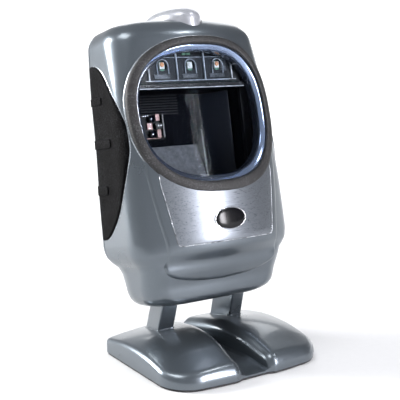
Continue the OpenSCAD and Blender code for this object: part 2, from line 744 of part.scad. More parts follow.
module hinge_bushings() {
    color([0.78, 0.62, 0.30]) in_head() for (s = [-1, 1]) {
        difference() {
            union() {
                x_rod(7, s * 23.25 - 0.75, s * 23.25 + 0.75);
                x_rod(9, s * 24.6 - 0.6, s * 24.6 + 0.6);
            }
            x_rod(shaft_d + 2 * shaft_gap, s * 23.25 - 3, s * 23.25 + 3);
        }
    }
}

module friction_washers() {
    color([0.55, 0.45, 0.30]) in_head() for (s = [-1, 1]) {
        difference() {
            x_rod(12, s * 21.63 - 0.77, s * 21.63 + 0.77);
            x_rod(shaft_d + 0.16, s * 21.63 - 3, s * 21.63 + 3);
        }
    }
}

module bracket_screw() {
    translate([0, 0, -13.3]) cylinder(h = 1.25, d = 4, $fn = 32);
    translate([0, 0, -13]) cylinder(h = 4.4, d = 2.15, $fn = 32);
}

module bracket_screws() {
    color(steel) in_head() for (s = [-1, 1]) {
        for (v = [10, 24]) {
            translate([s * 19, v, 0]) bracket_screw();
        }
    }
}

module housing_screws() {
    color(steel) in_head() screw_spots() {
        v_rod(0, 0, 4.6, 34.9, 36.8);
        v_rod(0, 0, 2.1, 19.4, 35.4);
    }
}

// Top button.
function button_loop(k, w) = [for (i = [0:47])
    [button_a * k * cos(7.5 * i), button_v + button_b * k * sin(7.5 * i), w]];
function button_dome(w0, h, t) = [for (q = [0, 15, 30, 45, 58, 70, 80, 87])
    button_loop(t * pow(cos(q), 0.78), w0 + h * pow(sin(q), 0.78))];

module button_cap() {
    color([0.75, 0.76, 0.79]) in_head() resize([0, 0, 0]) {
        difference() {
            skin(concat([button_loop(1, 85.6)], button_dome(89, 7.4, 1)));
            skin(concat([button_loop(0.86, 80)], button_dome(89, 5.8, 0.86)));
        }
        // side tabs that keep the button in its opening
        for (s = [-1, 1]) {
            face_box(s * 10.9 - 0.95, s * 10.9 + 0.95, button_v - 3, button_v + 3, 87.1, 88.3);
        }
    }
}

// Post under the button, with the spring's seat.
module button_stem() {
    color([0.70, 0.71, 0.73]) in_head() {
        translate([0, button_v, 78.3]) cylinder(h = 16.3, d = 4, $fn = 32);
        translate([0, button_v, 84.5]) cylinder(h = 1, d = 9, $fn = 32);
    }
}

module button_spring() {
    color(steel) in_head() translate([0, button_v, 77.1]) difference() {
        cylinder(h = 7.3, d = 8, $fn = 32);
        translate([0, 0, -1]) cylinder(h = 12, d = 6.6, $fn = 32);
    }
}

module button_board() {
    color(board) in_head() difference() {
        translate([-12, 12.5, 71.9]) cube([24, 14, 1.2]);
        for (x = [-9, 9]) {
            translate([x, 22, 70]) cylinder(h = 5, d = 2.2, $fn = 32);
        }
    }
}

module button_switch() {
    color(black) in_head() translate([0, button_v, 73.15]) {
        translate([-4.4, -4.4, 0]) cube([8.8, 8.8, 1]);
        translate([-3, -3, 0]) cube([6, 6, 3]);
        cylinder(h = 3.8, d = 3, $fn = 32);
    }
}

base_shell();
ballast_plate();
base_pad();
leg_left();
leg_right();
leg_screws();
base_screws();
hinge_shaft();
shaft_clips();
front_housing();
rear_housing();
bottom_cover();
cover_screws();
chest_cover();
label_panel();
window_bezel();
window_rim();
window_lens();
grip_left();
grip_right();
badge_rim();
badge_dome();
chassis();
light_chamber();
chamber_ramp();
fold_mirror();
led_board();
led_emitters();
led_tray();
led_cover();
camera_module();
camera_lenses();
main_board();
board_parts();
board_shield();
beeper();
cable_socket();
socket_contacts();
hinge_bracket();
hinge_bushings();
friction_washers();
bracket_screws();
housing_screws();
button_cap();
button_stem();
button_spring();
button_board();
button_switch();
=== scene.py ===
"""Looks of a hands-free presentation barcode reader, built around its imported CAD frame.

Pieces on the head are written in the head's own frame, in millimetres: x to the right, v to
the back and w up along the leaning head. Pieces on the stand use x, y, z in millimetres.
"""
from math import atan2, cos, hypot, pi, radians, sin

import bmesh
import bpy
import numpy as np
from mathutils import Matrix, Vector
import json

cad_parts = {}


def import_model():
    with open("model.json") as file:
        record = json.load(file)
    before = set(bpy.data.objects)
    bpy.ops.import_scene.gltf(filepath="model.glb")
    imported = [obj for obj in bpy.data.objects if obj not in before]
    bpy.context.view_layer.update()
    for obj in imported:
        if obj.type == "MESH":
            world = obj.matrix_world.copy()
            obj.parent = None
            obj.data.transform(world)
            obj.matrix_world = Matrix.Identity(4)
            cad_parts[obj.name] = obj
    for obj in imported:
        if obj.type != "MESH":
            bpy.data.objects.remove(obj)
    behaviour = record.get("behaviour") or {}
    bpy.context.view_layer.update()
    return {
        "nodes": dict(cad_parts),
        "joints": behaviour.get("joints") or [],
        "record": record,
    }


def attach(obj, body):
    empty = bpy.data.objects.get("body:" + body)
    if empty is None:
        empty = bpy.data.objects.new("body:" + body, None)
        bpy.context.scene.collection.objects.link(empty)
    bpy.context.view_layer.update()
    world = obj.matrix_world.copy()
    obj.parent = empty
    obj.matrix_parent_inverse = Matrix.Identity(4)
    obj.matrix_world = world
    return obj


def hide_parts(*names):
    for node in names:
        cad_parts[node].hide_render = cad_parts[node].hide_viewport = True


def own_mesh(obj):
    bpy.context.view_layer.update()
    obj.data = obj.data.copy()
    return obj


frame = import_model()

MM = 0.001
JOINTS = {joint["name"]: joint for joint in frame["joints"]}
PRESS = JOINTS["button_press"]["axis"]
TILT = atan2(-PRESS[1], -PRESS[2])
HEAD_Z = 60
HEAD = Matrix.Translation((0, 0, HEAD_Z * MM)) @ Matrix.Rotation(-TILT, 4, "X")
STAND = Matrix.Identity(4)
PIVOT = Vector(JOINTS["head_tilt"]["pos_m"]) / MM
VIEW_FROM = (-0.210475, -0.305413, 0.140)
VIEW_TURN, VIEW_PITCH = radians(-33.5), radians(-10.6)
BACKWARD = (-sin(VIEW_TURN), cos(VIEW_TURN))

# ---------- camera, light and floor


def new_object(name, data):
    obj = bpy.data.objects.new(name, data)
    bpy.context.scene.collection.objects.link(obj)
    return obj


def add_node(tree, kind, links=None, **values):
    """Makes a node. Links give each input a socket to read or a number to hold."""
    made = tree.nodes.new(kind)
    for key, value in values.items():
        setattr(made, key, value)
    for key, value in (links or {}).items():
        if isinstance(value, bpy.types.NodeSocket):
            tree.links.new(value, made.inputs[key])
        else:
            made.inputs[key].default_value = value
    return made


def add_camera():
    camera = new_object("camera", bpy.data.cameras.new("camera"))
    camera.location = VIEW_FROM
    camera.data.lens = 79.2
    camera.data.clip_start = 0.01
    camera.rotation_euler = (pi / 2 + VIEW_PITCH, 0, VIEW_TURN)
    bpy.context.scene.camera = camera


LIGHT_TARGET = Vector((0, 0, 0.08))
LIGHTS = [
    # name, azimuth, height, distance, size, power, colour
    ("strip_right", -21, 0.26, 0.75, (0.15, 0.50), 7.5, (0.97, 0.95, 1.0)),
    ("strip_left", 132, 0.35, 0.70, (0.24, 0.36), 9.0, (1, 1, 1)),
    ("front_left", 84, 0.85, 0.45, (0.45, 0.30), 3.0, (1, 1, 1)),
    ("overhead", -48, 0.85, 0.45, (0.20, 0.10), 1.2, (0.97, 0.98, 1.0)),
    ("back_fill", 215, 0.60, 0.90, (0.60, 0.50), 2.0, (1, 1, 1)),
]


def add_light(name, azimuth, height, distance, size, power, color):
    """Rectangular soft light. Azimuth 0 stands in front of the window, 90 at the reader's -X side."""
    data = bpy.data.lights.new(name, "AREA")
    data.shape = "RECTANGLE"
    data.size, data.size_y = size
    data.energy = power
    data.color = color
    light = new_object(name, data)
    turn = radians(azimuth)
    light.location = (-distance * sin(turn), -distance * cos(turn), height)
    light.rotation_euler = (LIGHT_TARGET - light.location).to_track_quat("-Z", "Y").to_euler()


SKY = ((0.0, (0.58, 0.59, 0.61, 1)), (0.6, (0.40, 0.42, 0.45, 1)))
DARK_SIDE = {"From Min": 0.35, "From Max": 0.85, "To Min": 1.0, "To Max": 0.35}


def add_world():
    """Grey studio, a little darker overhead and dark on the +X side."""
    world = bpy.data.worlds.new("studio")
    bpy.context.scene.world = world
    world.use_nodes = True
    tree = world.node_tree
    back = tree.nodes["Background"].inputs
    place = add_node(tree, "ShaderNodeTexCoord").outputs["Generated"]
    along = add_node(tree, "ShaderNodeSeparateXYZ", {0: place}).outputs
    height = add_node(tree, "ShaderNodeValToRGB", {"Fac": along["Z"]})
    for mark, (position, color) in zip(height.color_ramp.elements, SKY):
        mark.position = position
        mark.color = color
    shade = add_node(tree, "ShaderNodeMapRange", {"Value": along["X"], **DARK_SIDE})
    tree.links.new(height.outputs["Color"], back["Color"])
    tree.links.new(shade.outputs[0], back["Strength"])


add_camera()
add_world()
for light_row in LIGHTS:
    add_light(*light_row)
bpy.context.scene.view_settings.view_transform = "Standard"

# ---------- curves and outlines


def curve(*stations):
    """Smooth line through (position, value) stations, which never overshoots them."""
    at, value = np.array(stations, float).T
    step = np.diff(at)
    slope = np.diff(value) / step
    tangent = np.concatenate([slope[:1], np.zeros(len(slope) - 1), slope[-1:]])
    for i in range(1, len(slope)):
        if slope[i - 1] * slope[i] > 0:
            tangent[i] = 2 * slope[i - 1] * slope[i] / (slope[i - 1] + slope[i])

    def read(q):
        q = np.clip(q, at[0], at[-1])
        i = np.clip(np.searchsorted(at, q) - 1, 0, len(step) - 1)
        t = (q - at[i]) / step[i]
        low = (2 * t**3 - 3 * t**2 + 1) * value[i] + (t**3 - 2 * t**2 + t) * step[i] * tangent[i]
        return low + (3 * t**2 - 2 * t**3) * value[i + 1] + (t**3 - t**2) * step[i] * tangent[i + 1]

    return read


def resample(line, count):
    """count + 1 points spread evenly along a line."""
    run = np.concatenate([[0], np.cumsum(np.linalg.norm(np.diff(line, axis=0), axis=1))])
    at = np.linspace(0, run[-1], count + 1)
    return np.stack([np.interp(at, run, column) for column in line.T], 1)


def soften(points, rounds=3):
    """Rounds an open profile by cutting its corners, and keeps its two ends."""
    line = np.array(points, float)
    for _ in range(rounds):
        near = 0.75 * line[:-1] + 0.25 * line[1:]
        far = 0.25 * line[:-1] + 0.75 * line[1:]
        between = np.stack([near, far], 1).reshape(-1, line.shape[1])[1:-1]
        line = np.concatenate([line[:1], between, line[-1:]])
    return line


def ramp_up(distance, width):
    """0 at an edge, rising over a width to 1 like a quarter round."""
    t = np.clip(distance / width, 0, 1)
    return np.sqrt(1 - (1 - t) ** 2)


def steps(*stretches):
    """Positions through (start, end, count) stretches that follow on from each other."""
    parts = [np.linspace(start, end, count + 1)[1:] for start, end, count in stretches]
    return np.concatenate([[stretches[0][0]], *parts])


def full_turn(count):
    """Angles spread evenly round a circle."""
    return np.linspace(0, 2 * pi, count, endpoint=False)


def dome(reach, base, rise, count, end=1.5):
    """Profile of a low dome, as (radius, position) pairs that rise towards the front."""
    return [(reach * cos(q), base - rise * sin(q)) for q in np.linspace(0, end, count)]


# ---------- meshes

AXES = {"x": (2, 0, 1), "v": (0, 2, 1), "w": (0, 1, 2)}


SHARP = 35


def piece(name, points, faces, material, slot, body="head", replaces=(), sharp=SHARP, place=None):
    """Makes one visible piece from points in millimetres in its body's frame, and puts it on its body."""
    place = np.array(place or (STAND if body == "stand" else HEAD))
    spots = np.array(points, float) * MM @ place[:3, :3].T + place[:3, 3]
    mesh = bpy.data.meshes.new(name)
    mesh.from_pydata(spots.tolist(), [], [list(map(int, f)) for f in faces])
    work = bmesh.new()
    work.from_mesh(mesh)
    bmesh.ops.recalc_face_normals(work, faces=work.faces)
    work.to_mesh(mesh)
    work.free()
    obj = new_object(name, mesh)
    mesh.shade_smooth()
    mesh.set_sharp_from_angle(angle=radians(sharp))
    if material:
        mesh.materials.append(material)
    if slot:
        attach(obj, body)
    if replaces:
        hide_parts(*replaces)
    return obj


def joined(*parts):
    """Several (points, faces) sets as one."""
    points, faces, start = [], [], 0
    for some_points, some_faces in parts:
        points.append(np.array(some_points, float))
        faces += [[i + start for i in face] for face in some_faces]
        start += len(some_points)
    return np.concatenate(points), faces


def grid_faces(rows, columns, start=0, wrap_columns=False, wrap_rows=False):
    faces = []
    for j in range(rows - (not wrap_rows)):
        for i in range(columns - (not wrap_columns)):
            k, q = (i + 1) % columns, (j + 1) % rows
            faces.append([start + j * columns + i, start + j * columns + k,
                          start + q * columns + k, start + q * columns + i])
    return faces


def sheet(outer, inner):
    """Closed sheet between two grids of the same size."""
    rows, columns, _ = outer.shape
    count = rows * columns
    points = np.concatenate([outer.reshape(-1, 3), inner.reshape(-1, 3)])
    faces = grid_faces(rows, columns)
    faces += [face[::-1] for face in grid_faces(rows, columns, count)]
    spots = np.arange(count).reshape(rows, columns)
    rim = [*spots[0], *spots[1:, -1], *spots[-1, -2::-1], *spots[-2:0:-1, 0]]
    for a, b in zip(rim, rim[1:] + rim[:1]):
        faces.append([b, a, a + count, b + count])
    return points, faces


def tube(path, radius, sides=8, closed=True):
    """Round bead along a path."""
    path = np.array(path, float)
    ahead = np.roll(path, -1, 0) - np.roll(path, 1, 0) if closed else np.gradient(path, axis=0)
    ahead /= np.linalg.norm(ahead, axis=1)[:, None]
    up = np.array([0.0, -1.0, 0.0])
    side = np.cross(ahead, up)
    side /= np.linalg.norm(side, axis=1)[:, None] + 1e-9
    over = np.cross(side, ahead)
    turn = full_turn(sides)[None, :, None]
    rings = path[:, None] + radius * (side[:, None] * np.cos(turn) + over[:, None] * np.sin(turn))
    faces = grid_faces(len(path), sides, wrap_columns=True, wrap_rows=closed)
    if not closed:
        faces += [list(range(sides))[::-1], [(len(path) - 1) * sides + i for i in range(sides)]]
    return rings.reshape(-1, 3), faces


def rings_solid(rings):
    """Closed solid through rings of the same number of points."""
    rings = np.array(rings, float)
    rows, columns, _ = rings.shape
    faces = grid_faces(rows, columns, wrap_columns=True)
    faces.append(list(range(columns))[::-1])
    faces.append([(rows - 1) * columns + i for i in range(columns)])
    return rings.reshape(-1, 3), faces


def rings_loop(rings):
    """Closed ring whose section runs through the rings and back to the first."""
    rings = np.array(rings)
    return rings.reshape(-1, 3), grid_faces(*rings.shape[:2], wrap_columns=True, wrap_rows=True)


def level(outline, at):
    """Flat outline as a ring of points at one position along the third direction."""
    return np.column_stack([outline, np.full(len(outline), at)])


def prism(outline, low, high, axis="v"):
    """Outline in the two other directions, pushed along x, v or w."""
    outline = np.array(outline, float)
    return rings_solid([level(outline, at)[:, AXES[axis]] for at in (low, high)])


def box(x0, x1, v0, v1, w0, w1):
    return prism([(x0, v0), (x1, v0), (x1, v1), (x0, v1)], w0, w1, "w")


def ellipse(a, b, middle=(0, 0), count=64):
    t = full_turn(count)
    return np.stack([middle[0] + a * np.cos(t), middle[1] + b * np.sin(t)], 1)


def turned(center, profile, axis="v", sides=32):
    """Round piece about an axis, through (radius, position) pairs."""
    return rings_solid([level(ellipse(r, r, center, sides), at)[:, AXES[axis]] for r, at in profile])


def rod(center, radius, low, high, axis="v", sides=32):
    return turned(center, [(radius, low), (radius, high)], axis, sides)


def bevel(obj, width, segments=2):
    """Rounds the sharp edges by a width in millimetres."""
    rounding = obj.modifiers.new("rounding", "BEVEL")
    rounding.width = width * MM
    rounding.segments = segments
    rounding.limit_method = "ANGLE"
    rounding.angle_limit = radians(SHARP)
    rounding.harden_normals = True


def cut(obj, *cutters, operation="DIFFERENCE", body="head"):
    """Cuts (points, faces) sets out of a piece, or adds them to it."""
    helpers = [piece("cutter", points, faces, None, None, body) for points, faces in cutters]
    for helper in helpers:
        step = obj.modifiers.new("cut", "BOOLEAN")
        step.operation = operation
        step.object = helper
        step.solver = "EXACT"
    ready = obj.evaluated_get(bpy.context.evaluated_depsgraph_get())
    mesh = bpy.data.meshes.new_from_object(ready)
    obj.modifiers.clear()
    obj.data = mesh
    for helper in helpers:
        bpy.data.objects.remove(helper)
    obj.data.shade_smooth()
    obj.data.set_sharp_from_angle(angle=radians(SHARP))


# ---------- materials


class Shader:
    """One Principled material and the texture nodes that drive it. Texture sizes are in millimetres."""

    def __init__(self, name, color, roughness, **values):
        self.material = bpy.data.materials.new(name)
        self.material.use_nodes = True
        self.tree = self.material.node_tree
        self.main = self.tree.nodes["Principled BSDF"]
        self.color = color
        self.main.inputs["Base Color"].default_value = (*color, 1)
        self.main.inputs["Roughness"].default_value = roughness
        for key, value in values.items():
            self.main.inputs[key.replace("_", " ")].default_value = value
        self.place = self.tree.nodes.new("ShaderNodeTexCoord").outputs["Object"]

    def node(self, kind, links=None, **values):
        return add_node(self.tree, kind, links, **values)

    def stretched(self, x, y, z):
        """Coordinates stretched so that a texture's grain runs longer along some directions."""
        return self.node("ShaderNodeMapping", {"Vector": self.place, "Scale": (x, y, z)}).outputs[0]

    def noise(self, size, detail=2, place=None, roughness=0.5):
        links = {"Vector": place or self.place, "Scale": 1 / (size * MM)}
        links |= {"Detail": detail, "Roughness": roughness}
        return self.node("ShaderNodeTexNoise", links).outputs["Fac"]

    def math(self, operation, first, second):
        return self.node("ShaderNodeMath", {0: first, 1: second}, operation=operation).outputs[0]

    def between(self, factor, low, high, start=0.0, end=1.0):
        """Maps a factor from start..end to a number between low and high."""
        links = {"Value": factor, "From Min": start, "From Max": end, "To Min": low, "To Max": high}
        return self.node("ShaderNodeMapRange", links).outputs[0]

    def tint(self, factor, *stops):
        """Colours along a factor, each a multiple of the base colour or a colour of its own."""
        made = self.node("ShaderNodeValToRGB", {"Fac": factor})
        marks = made.color_ramp.elements
        while len(marks) < len(stops):
            marks.new(0.5)
        for mark, (position, tone) in zip(marks, stops):
            color = tuple(tone * c for c in self.color) if isinstance(tone, (int, float)) else tone
            mark.position = position
            mark.color = (*color, 1)
        return made.outputs["Color"]

    def drive(self, socket, value):
        self.tree.links.new(value, self.main.inputs[socket])

    def bump(self, height, depth, below=None):
        """Surface relief: height 0..1 times a depth in millimetres."""
        links = {"Height": height, "Distance": depth * MM, "Strength": 1.0}
        if below is not None:
            links["Normal"] = below
        out = self.node("ShaderNodeBump", links).outputs[0]
        self.drive("Normal", out)
        return out


def plain(name, color, roughness, grain=0.5, depth=0.01, spread=0.12, **values):
    """Moulded or turned material: faint mottling, uneven gloss and a fine surface grain."""
    shader = Shader(name, color, roughness, **values)
    mottle = shader.noise(grain * 12, 4)
    fine = shader.noise(grain, 3)
    shader.drive("Base Color", shader.tint(mottle, (0.3, 1 - spread), (0.7, 1 + spread)))
    shader.drive("Roughness", shader.between(fine, roughness * 0.85, min(roughness * 1.2, 1.0), 0.3, 0.7))
    shader.bump(fine, depth)
    return shader.material


def metallic_paint(name, color, brushed=False):
    """Satin metallic lacquer under a clear coat. The brushed kind has a grain that runs across."""
    shader = Shader(name, color, 0.3, Metallic=0.8, Coat_Weight=0.5, Coat_Roughness=0.10)
    if brushed:
        streaks = shader.noise(0.22, 3, shader.stretched(0.006, 1, 1), 0.65)
        wide = shader.noise(0.7, 2, shader.stretched(0.008, 1, 1))
        mixed = shader.math("ADD", streaks, wide)
        shader.drive("Base Color", shader.tint(mixed, (0.6, 0.88), (1.0, 1.12)))
        shader.drive("Roughness", shader.between(streaks, 0.24, 0.42, 0.3, 0.7))
        shader.bump(streaks, 0.007)
    else:
        flake = shader.noise(0.17, 5, roughness=0.75)
        cloud = shader.noise(16, 4)
        shader.drive("Base Color", shader.tint(flake, (0.25, 0.80), (0.75, 1.20)))
        shader.drive("Roughness", shader.between(cloud, 0.24, 0.36, 0.1, 0.9))
        shader.bump(shader.noise(0.9, 3, roughness=0.6), 0.001)
    return shader.material


def speckled_rubber(name, color, worn_tone, specular):
    """Soft-touch rubber with a coarse spark texture whose peaks are rubbed lighter."""
    shader = Shader(name, color, 0.55, Specular_IOR_Level=specular)
    grain = shader.noise(0.62, 4, roughness=0.75)
    pits = shader.noise(0.25, 2)
    patch = shader.noise(7, 2)
    worn = shader.math("ADD", grain, shader.between(patch, -0.05, 0.05, 0.3, 0.7))
    tones = (0.40, 0.3), (0.54, 1.0), (0.61, 0.4 * worn_tone), (0.70, worn_tone)
    shader.drive("Base Color", shader.tint(worn, *tones))
    shader.drive("Roughness", shader.between(pits, 0.42, 0.68, 0.3, 0.7))
    shader.bump(grain, 0.16, shader.bump(pits, 0.03))
    return shader.material


def clear_pane(name, gloss):
    """Thin clear window: see-through, with the sheen that its polish gives at an angle."""
    shader = Shader(name, (0.9, 0.94, 1.0), 0.03)
    smear = shader.noise(14, 4)
    polish = shader.node("ShaderNodeBsdfGlossy", {"Color": (0.9, 0.95, 1.0, 1)})
    shader.tree.links.new(shader.between(smear, 0.01, 0.06, 0.3, 0.7), polish.inputs["Roughness"])
    clear = shader.node("ShaderNodeBsdfTransparent", {"Color": (0.93, 0.95, 0.97, 1)})
    edge = shader.node("ShaderNodeFresnel", {"IOR": gloss})
    amount = shader.math("MULTIPLY", edge.outputs[0], 0.35)
    blend = shader.node("ShaderNodeMixShader", {0: amount, 1: clear.outputs[0], 2: polish.outputs[0]})
    shader.tree.links.new(blend.outputs[0], shader.tree.nodes["Material Output"].inputs["Surface"])
    shader.tree.nodes.remove(shader.main)
    return shader.material


PAINT = metallic_paint("paint", (0.122, 0.142, 0.161))
BRUSHED = metallic_paint("brushed_paint", (0.155, 0.171, 0.192), brushed=True)
RUBBER = speckled_rubber("rubber", (0.0085, 0.0083, 0.0090), 9, 0.5)
GRIP_RUBBER = speckled_rubber("grip_rubber", (0.0022, 0.0022, 0.0025), 11, 0.03)
# Lighter than the housing paint: a painted highlight along the edges round the bezel and the grips.
EDGE_HIGHLIGHT = plain("painted_highlight_edge", (0.34, 0.37, 0.40), 0.25, 0.5, 0.03, 0.35, Metallic=0.6, Coat_Weight=0.5)
# Polished reflective bevel; its pale-blue metallic tone is partly a painted reflection of a blue-white
# surround.
BEVEL = plain("window_bevel", (0.34, 0.40, 0.54), 0.14, 2, 0.0004, Metallic=0.85)
RIM = plain("rim_gloss", (0.018, 0.022, 0.034), 0.06, 3, 0.004, Coat_Weight=1.0, Coat_Roughness=0.02)
PANE = clear_pane("pane", 1.10)
CELL_COVER = clear_pane("cell_cover", 1.15)
BADGE = plain("badge_gloss", (0.003, 0.003, 0.004), 0.16, 2, 0.002, Specular_IOR_Level=0.3)
CHROME = plain("bright_chrome", (0.62, 0.62, 0.64), 0.14, 0.8, 0.003, Metallic=1.0)
BLACK = plain("black_plastic", (0.0045, 0.005, 0.007), 0.45, 0.3, 0.012, Specular_IOR_Level=0.15)
CHAMBER = plain("chamber_black", (0.0022, 0.0030, 0.0052), 0.6, 0.25, 0.010, Specular_IOR_Level=0.02)
RAMP = plain("ramp_grey", (0.075, 0.080, 0.090), 0.60, 0.16, 0.03, 0.3, Specular_IOR_Level=0.3)
MIRROR = plain("dark_mirror", (0.006, 0.008, 0.014), 0.35, 6, 0.001, Specular_IOR_Level=0.25)
BOARD = plain("solder_mask", (0.012, 0.085, 0.040), 0.35, 0.5, 0.01)
LED_BODY = plain("led_body", (0.80, 0.78, 0.72), 0.45, 0.3, 0.01)
PHOSPHOR = plain("phosphor", (0.80, 0.36, 0.16), 0.30, 0.2, 0.01, Coat_Weight=0.8)
TRAY = plain("smoked_tray", (0.008, 0.009, 0.011), 0.35, 0.8, 0.02, 0.5, Specular_IOR_Level=0.2)
COPPER = plain("rose_plate", (0.17, 0.112, 0.105), 0.35, 0.4, 0.01, 0.4, Metallic=0.7)
PALE_GREEN = plain("pale_green", (0.10, 0.24, 0.15), 0.5, 0.3, 0.01)
LENS = plain("coated_lens", (0.010, 0.010, 0.035), 0.05, 2, 0.001, Coat_Weight=1.0)
STEEL = plain("zinc_steel", (0.50, 0.51, 0.52), 0.30, 0.4, 0.01, Metallic=1.0)
GOLD = plain("gold_plate", (0.72, 0.50, 0.20), 0.25, 0.3, 0.005, Metallic=1.0)
BRONZE = plain("sintered_bronze", (0.40, 0.26, 0.12), 0.45, 0.2, 0.03, Metallic=0.9)
PAD = plain("pad_foam", (0.032, 0.031, 0.033), 0.85, 0.5, 0.06, 0.25)
SILVER = plain("silver_satin", (0.38, 0.39, 0.42), 0.34, 0.25, 0.006, Metallic=0.45, Coat_Weight=0.3)
# Light, broken tone for the bead round the label: a painted highlight along the label's edge.
LABEL_EDGE_HIGHLIGHT = plain("label_edge_painted_highlight", (0.42, 0.44, 0.47), 0.25, 0.25, 0.15, 0.9, Metallic=0.5)
TRAY_RIB = plain("tray_rib", (0.42, 0.44, 0.48), 0.2, 0.25, 0.08, 0.6, Coat_Weight=1.0, Coat_Roughness=0.05)
SMOKE = plain("smoked_clear", (0.050, 0.052, 0.058), 0.25, 0.4, 0.04, 0.6, Coat_Weight=0.4)
GLOSS_BLACK = plain("gloss_black", (0.005, 0.006, 0.008), 0.25, 0.8, 0.006, Specular_IOR_Level=0.3)


def studio_paper():
    """Pale paper. Behind the reader it is lit through, so that the background stays white."""
    shader = Shader("floor_paper", (0.70, 0.70, 0.70), 0.75, Emission_Color=(1, 1, 1, 1))
    fine = shader.noise(3, 3)
    shader.drive("Base Color", shader.tint(fine, (0.3, 0.99), (0.7, 1.01)))
    away = shader.node("ShaderNodeVectorMath", {0: shader.place, 1: (*BACKWARD, 0)}, operation="DOT_PRODUCT")
    shader.drive("Emission Strength", shader.between(away.outputs["Value"], 0.04, 0.80, 0.04, 0.6))
    return shader.material


CAD_FINISH = {
    "housing_paint": PAINT, "label_metal": BRUSHED, "ballast_steel": STEEL, "pad_rubber": PAD,
    "screw_steel": STEEL, "bezel_rubber": RUBBER, "window_rim": RIM, "window_glass": CELL_COVER,
    "badge_chrome": CHROME, "badge_black": BADGE, "black_plastic": BLACK, "ramp_grey": RAMP,
    "fold_mirror": MIRROR, "board_green": BOARD, "led_white": LED_BODY, "tray_grey": TRAY,
    "camera_copper": COPPER, "camera_glass": LENS, "contact_gold": GOLD, "bushing_bronze": BRONZE,
    "button_silver": SILVER,
}

for part in frame["record"]["subparts"]:
    mesh = frame["nodes"][part["node"]].data
    mesh.materials.clear()
    mesh.materials.append(CAD_FINISH[part["material_slot"]])


def add_floor():
    """Pale paper: flat under the reader and rising gently behind it."""
    flat, bend, thick = 900, 700, 20.0
    turn = full_turn(96)
    behind_it = np.clip((np.cos(turn) * BACKWARD[0] + np.sin(turn) * BACKWARD[1] - 0.3) / 0.5, 0, 1)
    profile = [(0.5, 0), (400, 0), (flat, 0)]
    rise = np.radians(np.linspace(4, 62, 16))
    profile += [(flat + bend * sin(q), bend * (1 - cos(q))) for q in rise]
    line = [(r, z, 0) for r, z in profile] + [(r, z, -thick) for r, z in profile[::-1]]
    rings = [np.column_stack([r * np.cos(turn), r * np.sin(turn), z * behind_it + low]) for r, z, low in line]
    piece("floor", *rings_solid(rings), studio_paper(), None, "stand")


add_floor()

# ---------- the head's shape

# Joint plane of the two shells, wall, and the roof: where its round starts, ends and how far it domes.
PART_V, WALL = 28, 2
ROOF_EDGE, ROOF_TOP, ROOF_R, ROOF_RISE = 80.5, 86, 8, 3
HEAD_MIDDLE_V = 18
# Stations (w, value): half width, front, face and corner radius, back, roundness of the back, widest v.
half_w = curve((-32, 27.2), (-31, 29.9), (-29.5, 31.8), (-27, 33.4), (-24, 34.2), (-20, 34.8),
               (-16.5, 35.4), (-14, 36.4), (-12, 38), (-9, 39.5), (-4, 40.3), (13, 39.9), (40, 38.6),
               (60, 38.1), (72, 37.5), (86, 36.6))
front_v = curve((-32, 4.6), (-31, 2.8), (-29.5, 1.5), (-27, 0.7), (-24, 0), (-20, -2), (-16.5, -4),
                (-14, -5.2), (-12, -7.2), (-9, -9.6), (-4, -10.4), (13, -10.23), (27, -9.67), (40, -8.8),
                (60, -6.8), (72, -5.2), (86, -3))
face_r = curve((-32, 200), (-20, 180), (-16.5, 150), (-12, 90), (-9, 78), (-4, 74), (90, 74))
corner_r = curve((-32, 12), (-28, 10), (60, 10), (72, 12), (86, 15))
back_v = curve((-32, 40.5), (-30, 41.9), (-26, 42.6), (-20, 43.4), (-14, 45.2), (-12, 46.5), (-9, 47.7),
               (-4, 48.5), (40, 48.3), (60, 48.3), (72, 47.3), (86, 45.6))
fullness = curve((-32, 2.2), (-18, 2.2), (-9, 1.8), (13, 1.7), (90, 1.7))
side_v = curve((-32, 18), (-18, 18), (-14, 21), (-12, 24), (-9, 27), (-6, 28), (90, 28))


def corner_of(w, inset=0.0):
    """Half width, face radius, corner radius, corner start angle and corner centre line of one section."""
    a, r = half_w(w) - inset, face_r(w)
    c = np.maximum(corner_r(w) - inset / 2, 4)
    turn = np.arcsin((a - c) / (r - c))
    middle = front_v(w) + inset + r - np.sqrt((r - c) ** 2 - (a - c) ** 2)
    return a, r, c, turn, middle


def face_at(x, w):
    """Front face, carried on as a round of one radius."""
    return front_v(w) + face_r(w) - np.sqrt(face_r(w) ** 2 - x**2)


def front_surface(x, w):
    """Front face with its rounded corners, as a point's v."""
    a, r, c, turn, middle = corner_of(w)
    side = np.clip(np.abs(x) - (a - c), 0, c)
    return np.where(np.abs(x) <= r * np.sin(turn), face_at(x, w), middle - np.sqrt(c**2 - side**2))


def flank_at(v, w):
    """Half width of the head at a point of its side."""
    a, r, c, turn, middle = corner_of(w)
    ahead = np.clip(middle - v, 0, c)
    return np.where(v >= middle, a, a - c + np.sqrt(c**2 - ahead**2))


def half_section(w, inset=0.0):
    """Dense outline (x, v) of the head at one height, from the front middle to the back middle."""
    a, r, c, turn, middle = corner_of(w, inset)
    side, power, back = side_v(w), 2 / fullness(w), back_v(w) - inset
    t = np.linspace(0, turn, 60)[:-1]
    face = np.stack([r * np.sin(t), front_v(w) + inset + r - r * np.cos(t)], 1)
    t = np.linspace(turn, pi / 2, 50)[:-1]
    corner = np.stack([a - c + c * np.sin(t), middle - c * np.cos(t)], 1)
    flank = np.stack([np.full(11, a), np.linspace(middle, side, 12)[:-1]], 1)
    t = np.linspace(0, pi / 2, 160)
    rear = np.stack([a * np.cos(t) ** power, side + (back - side) * np.sin(t) ** power], 1)
    return np.concatenate([face, corner, flank, rear])


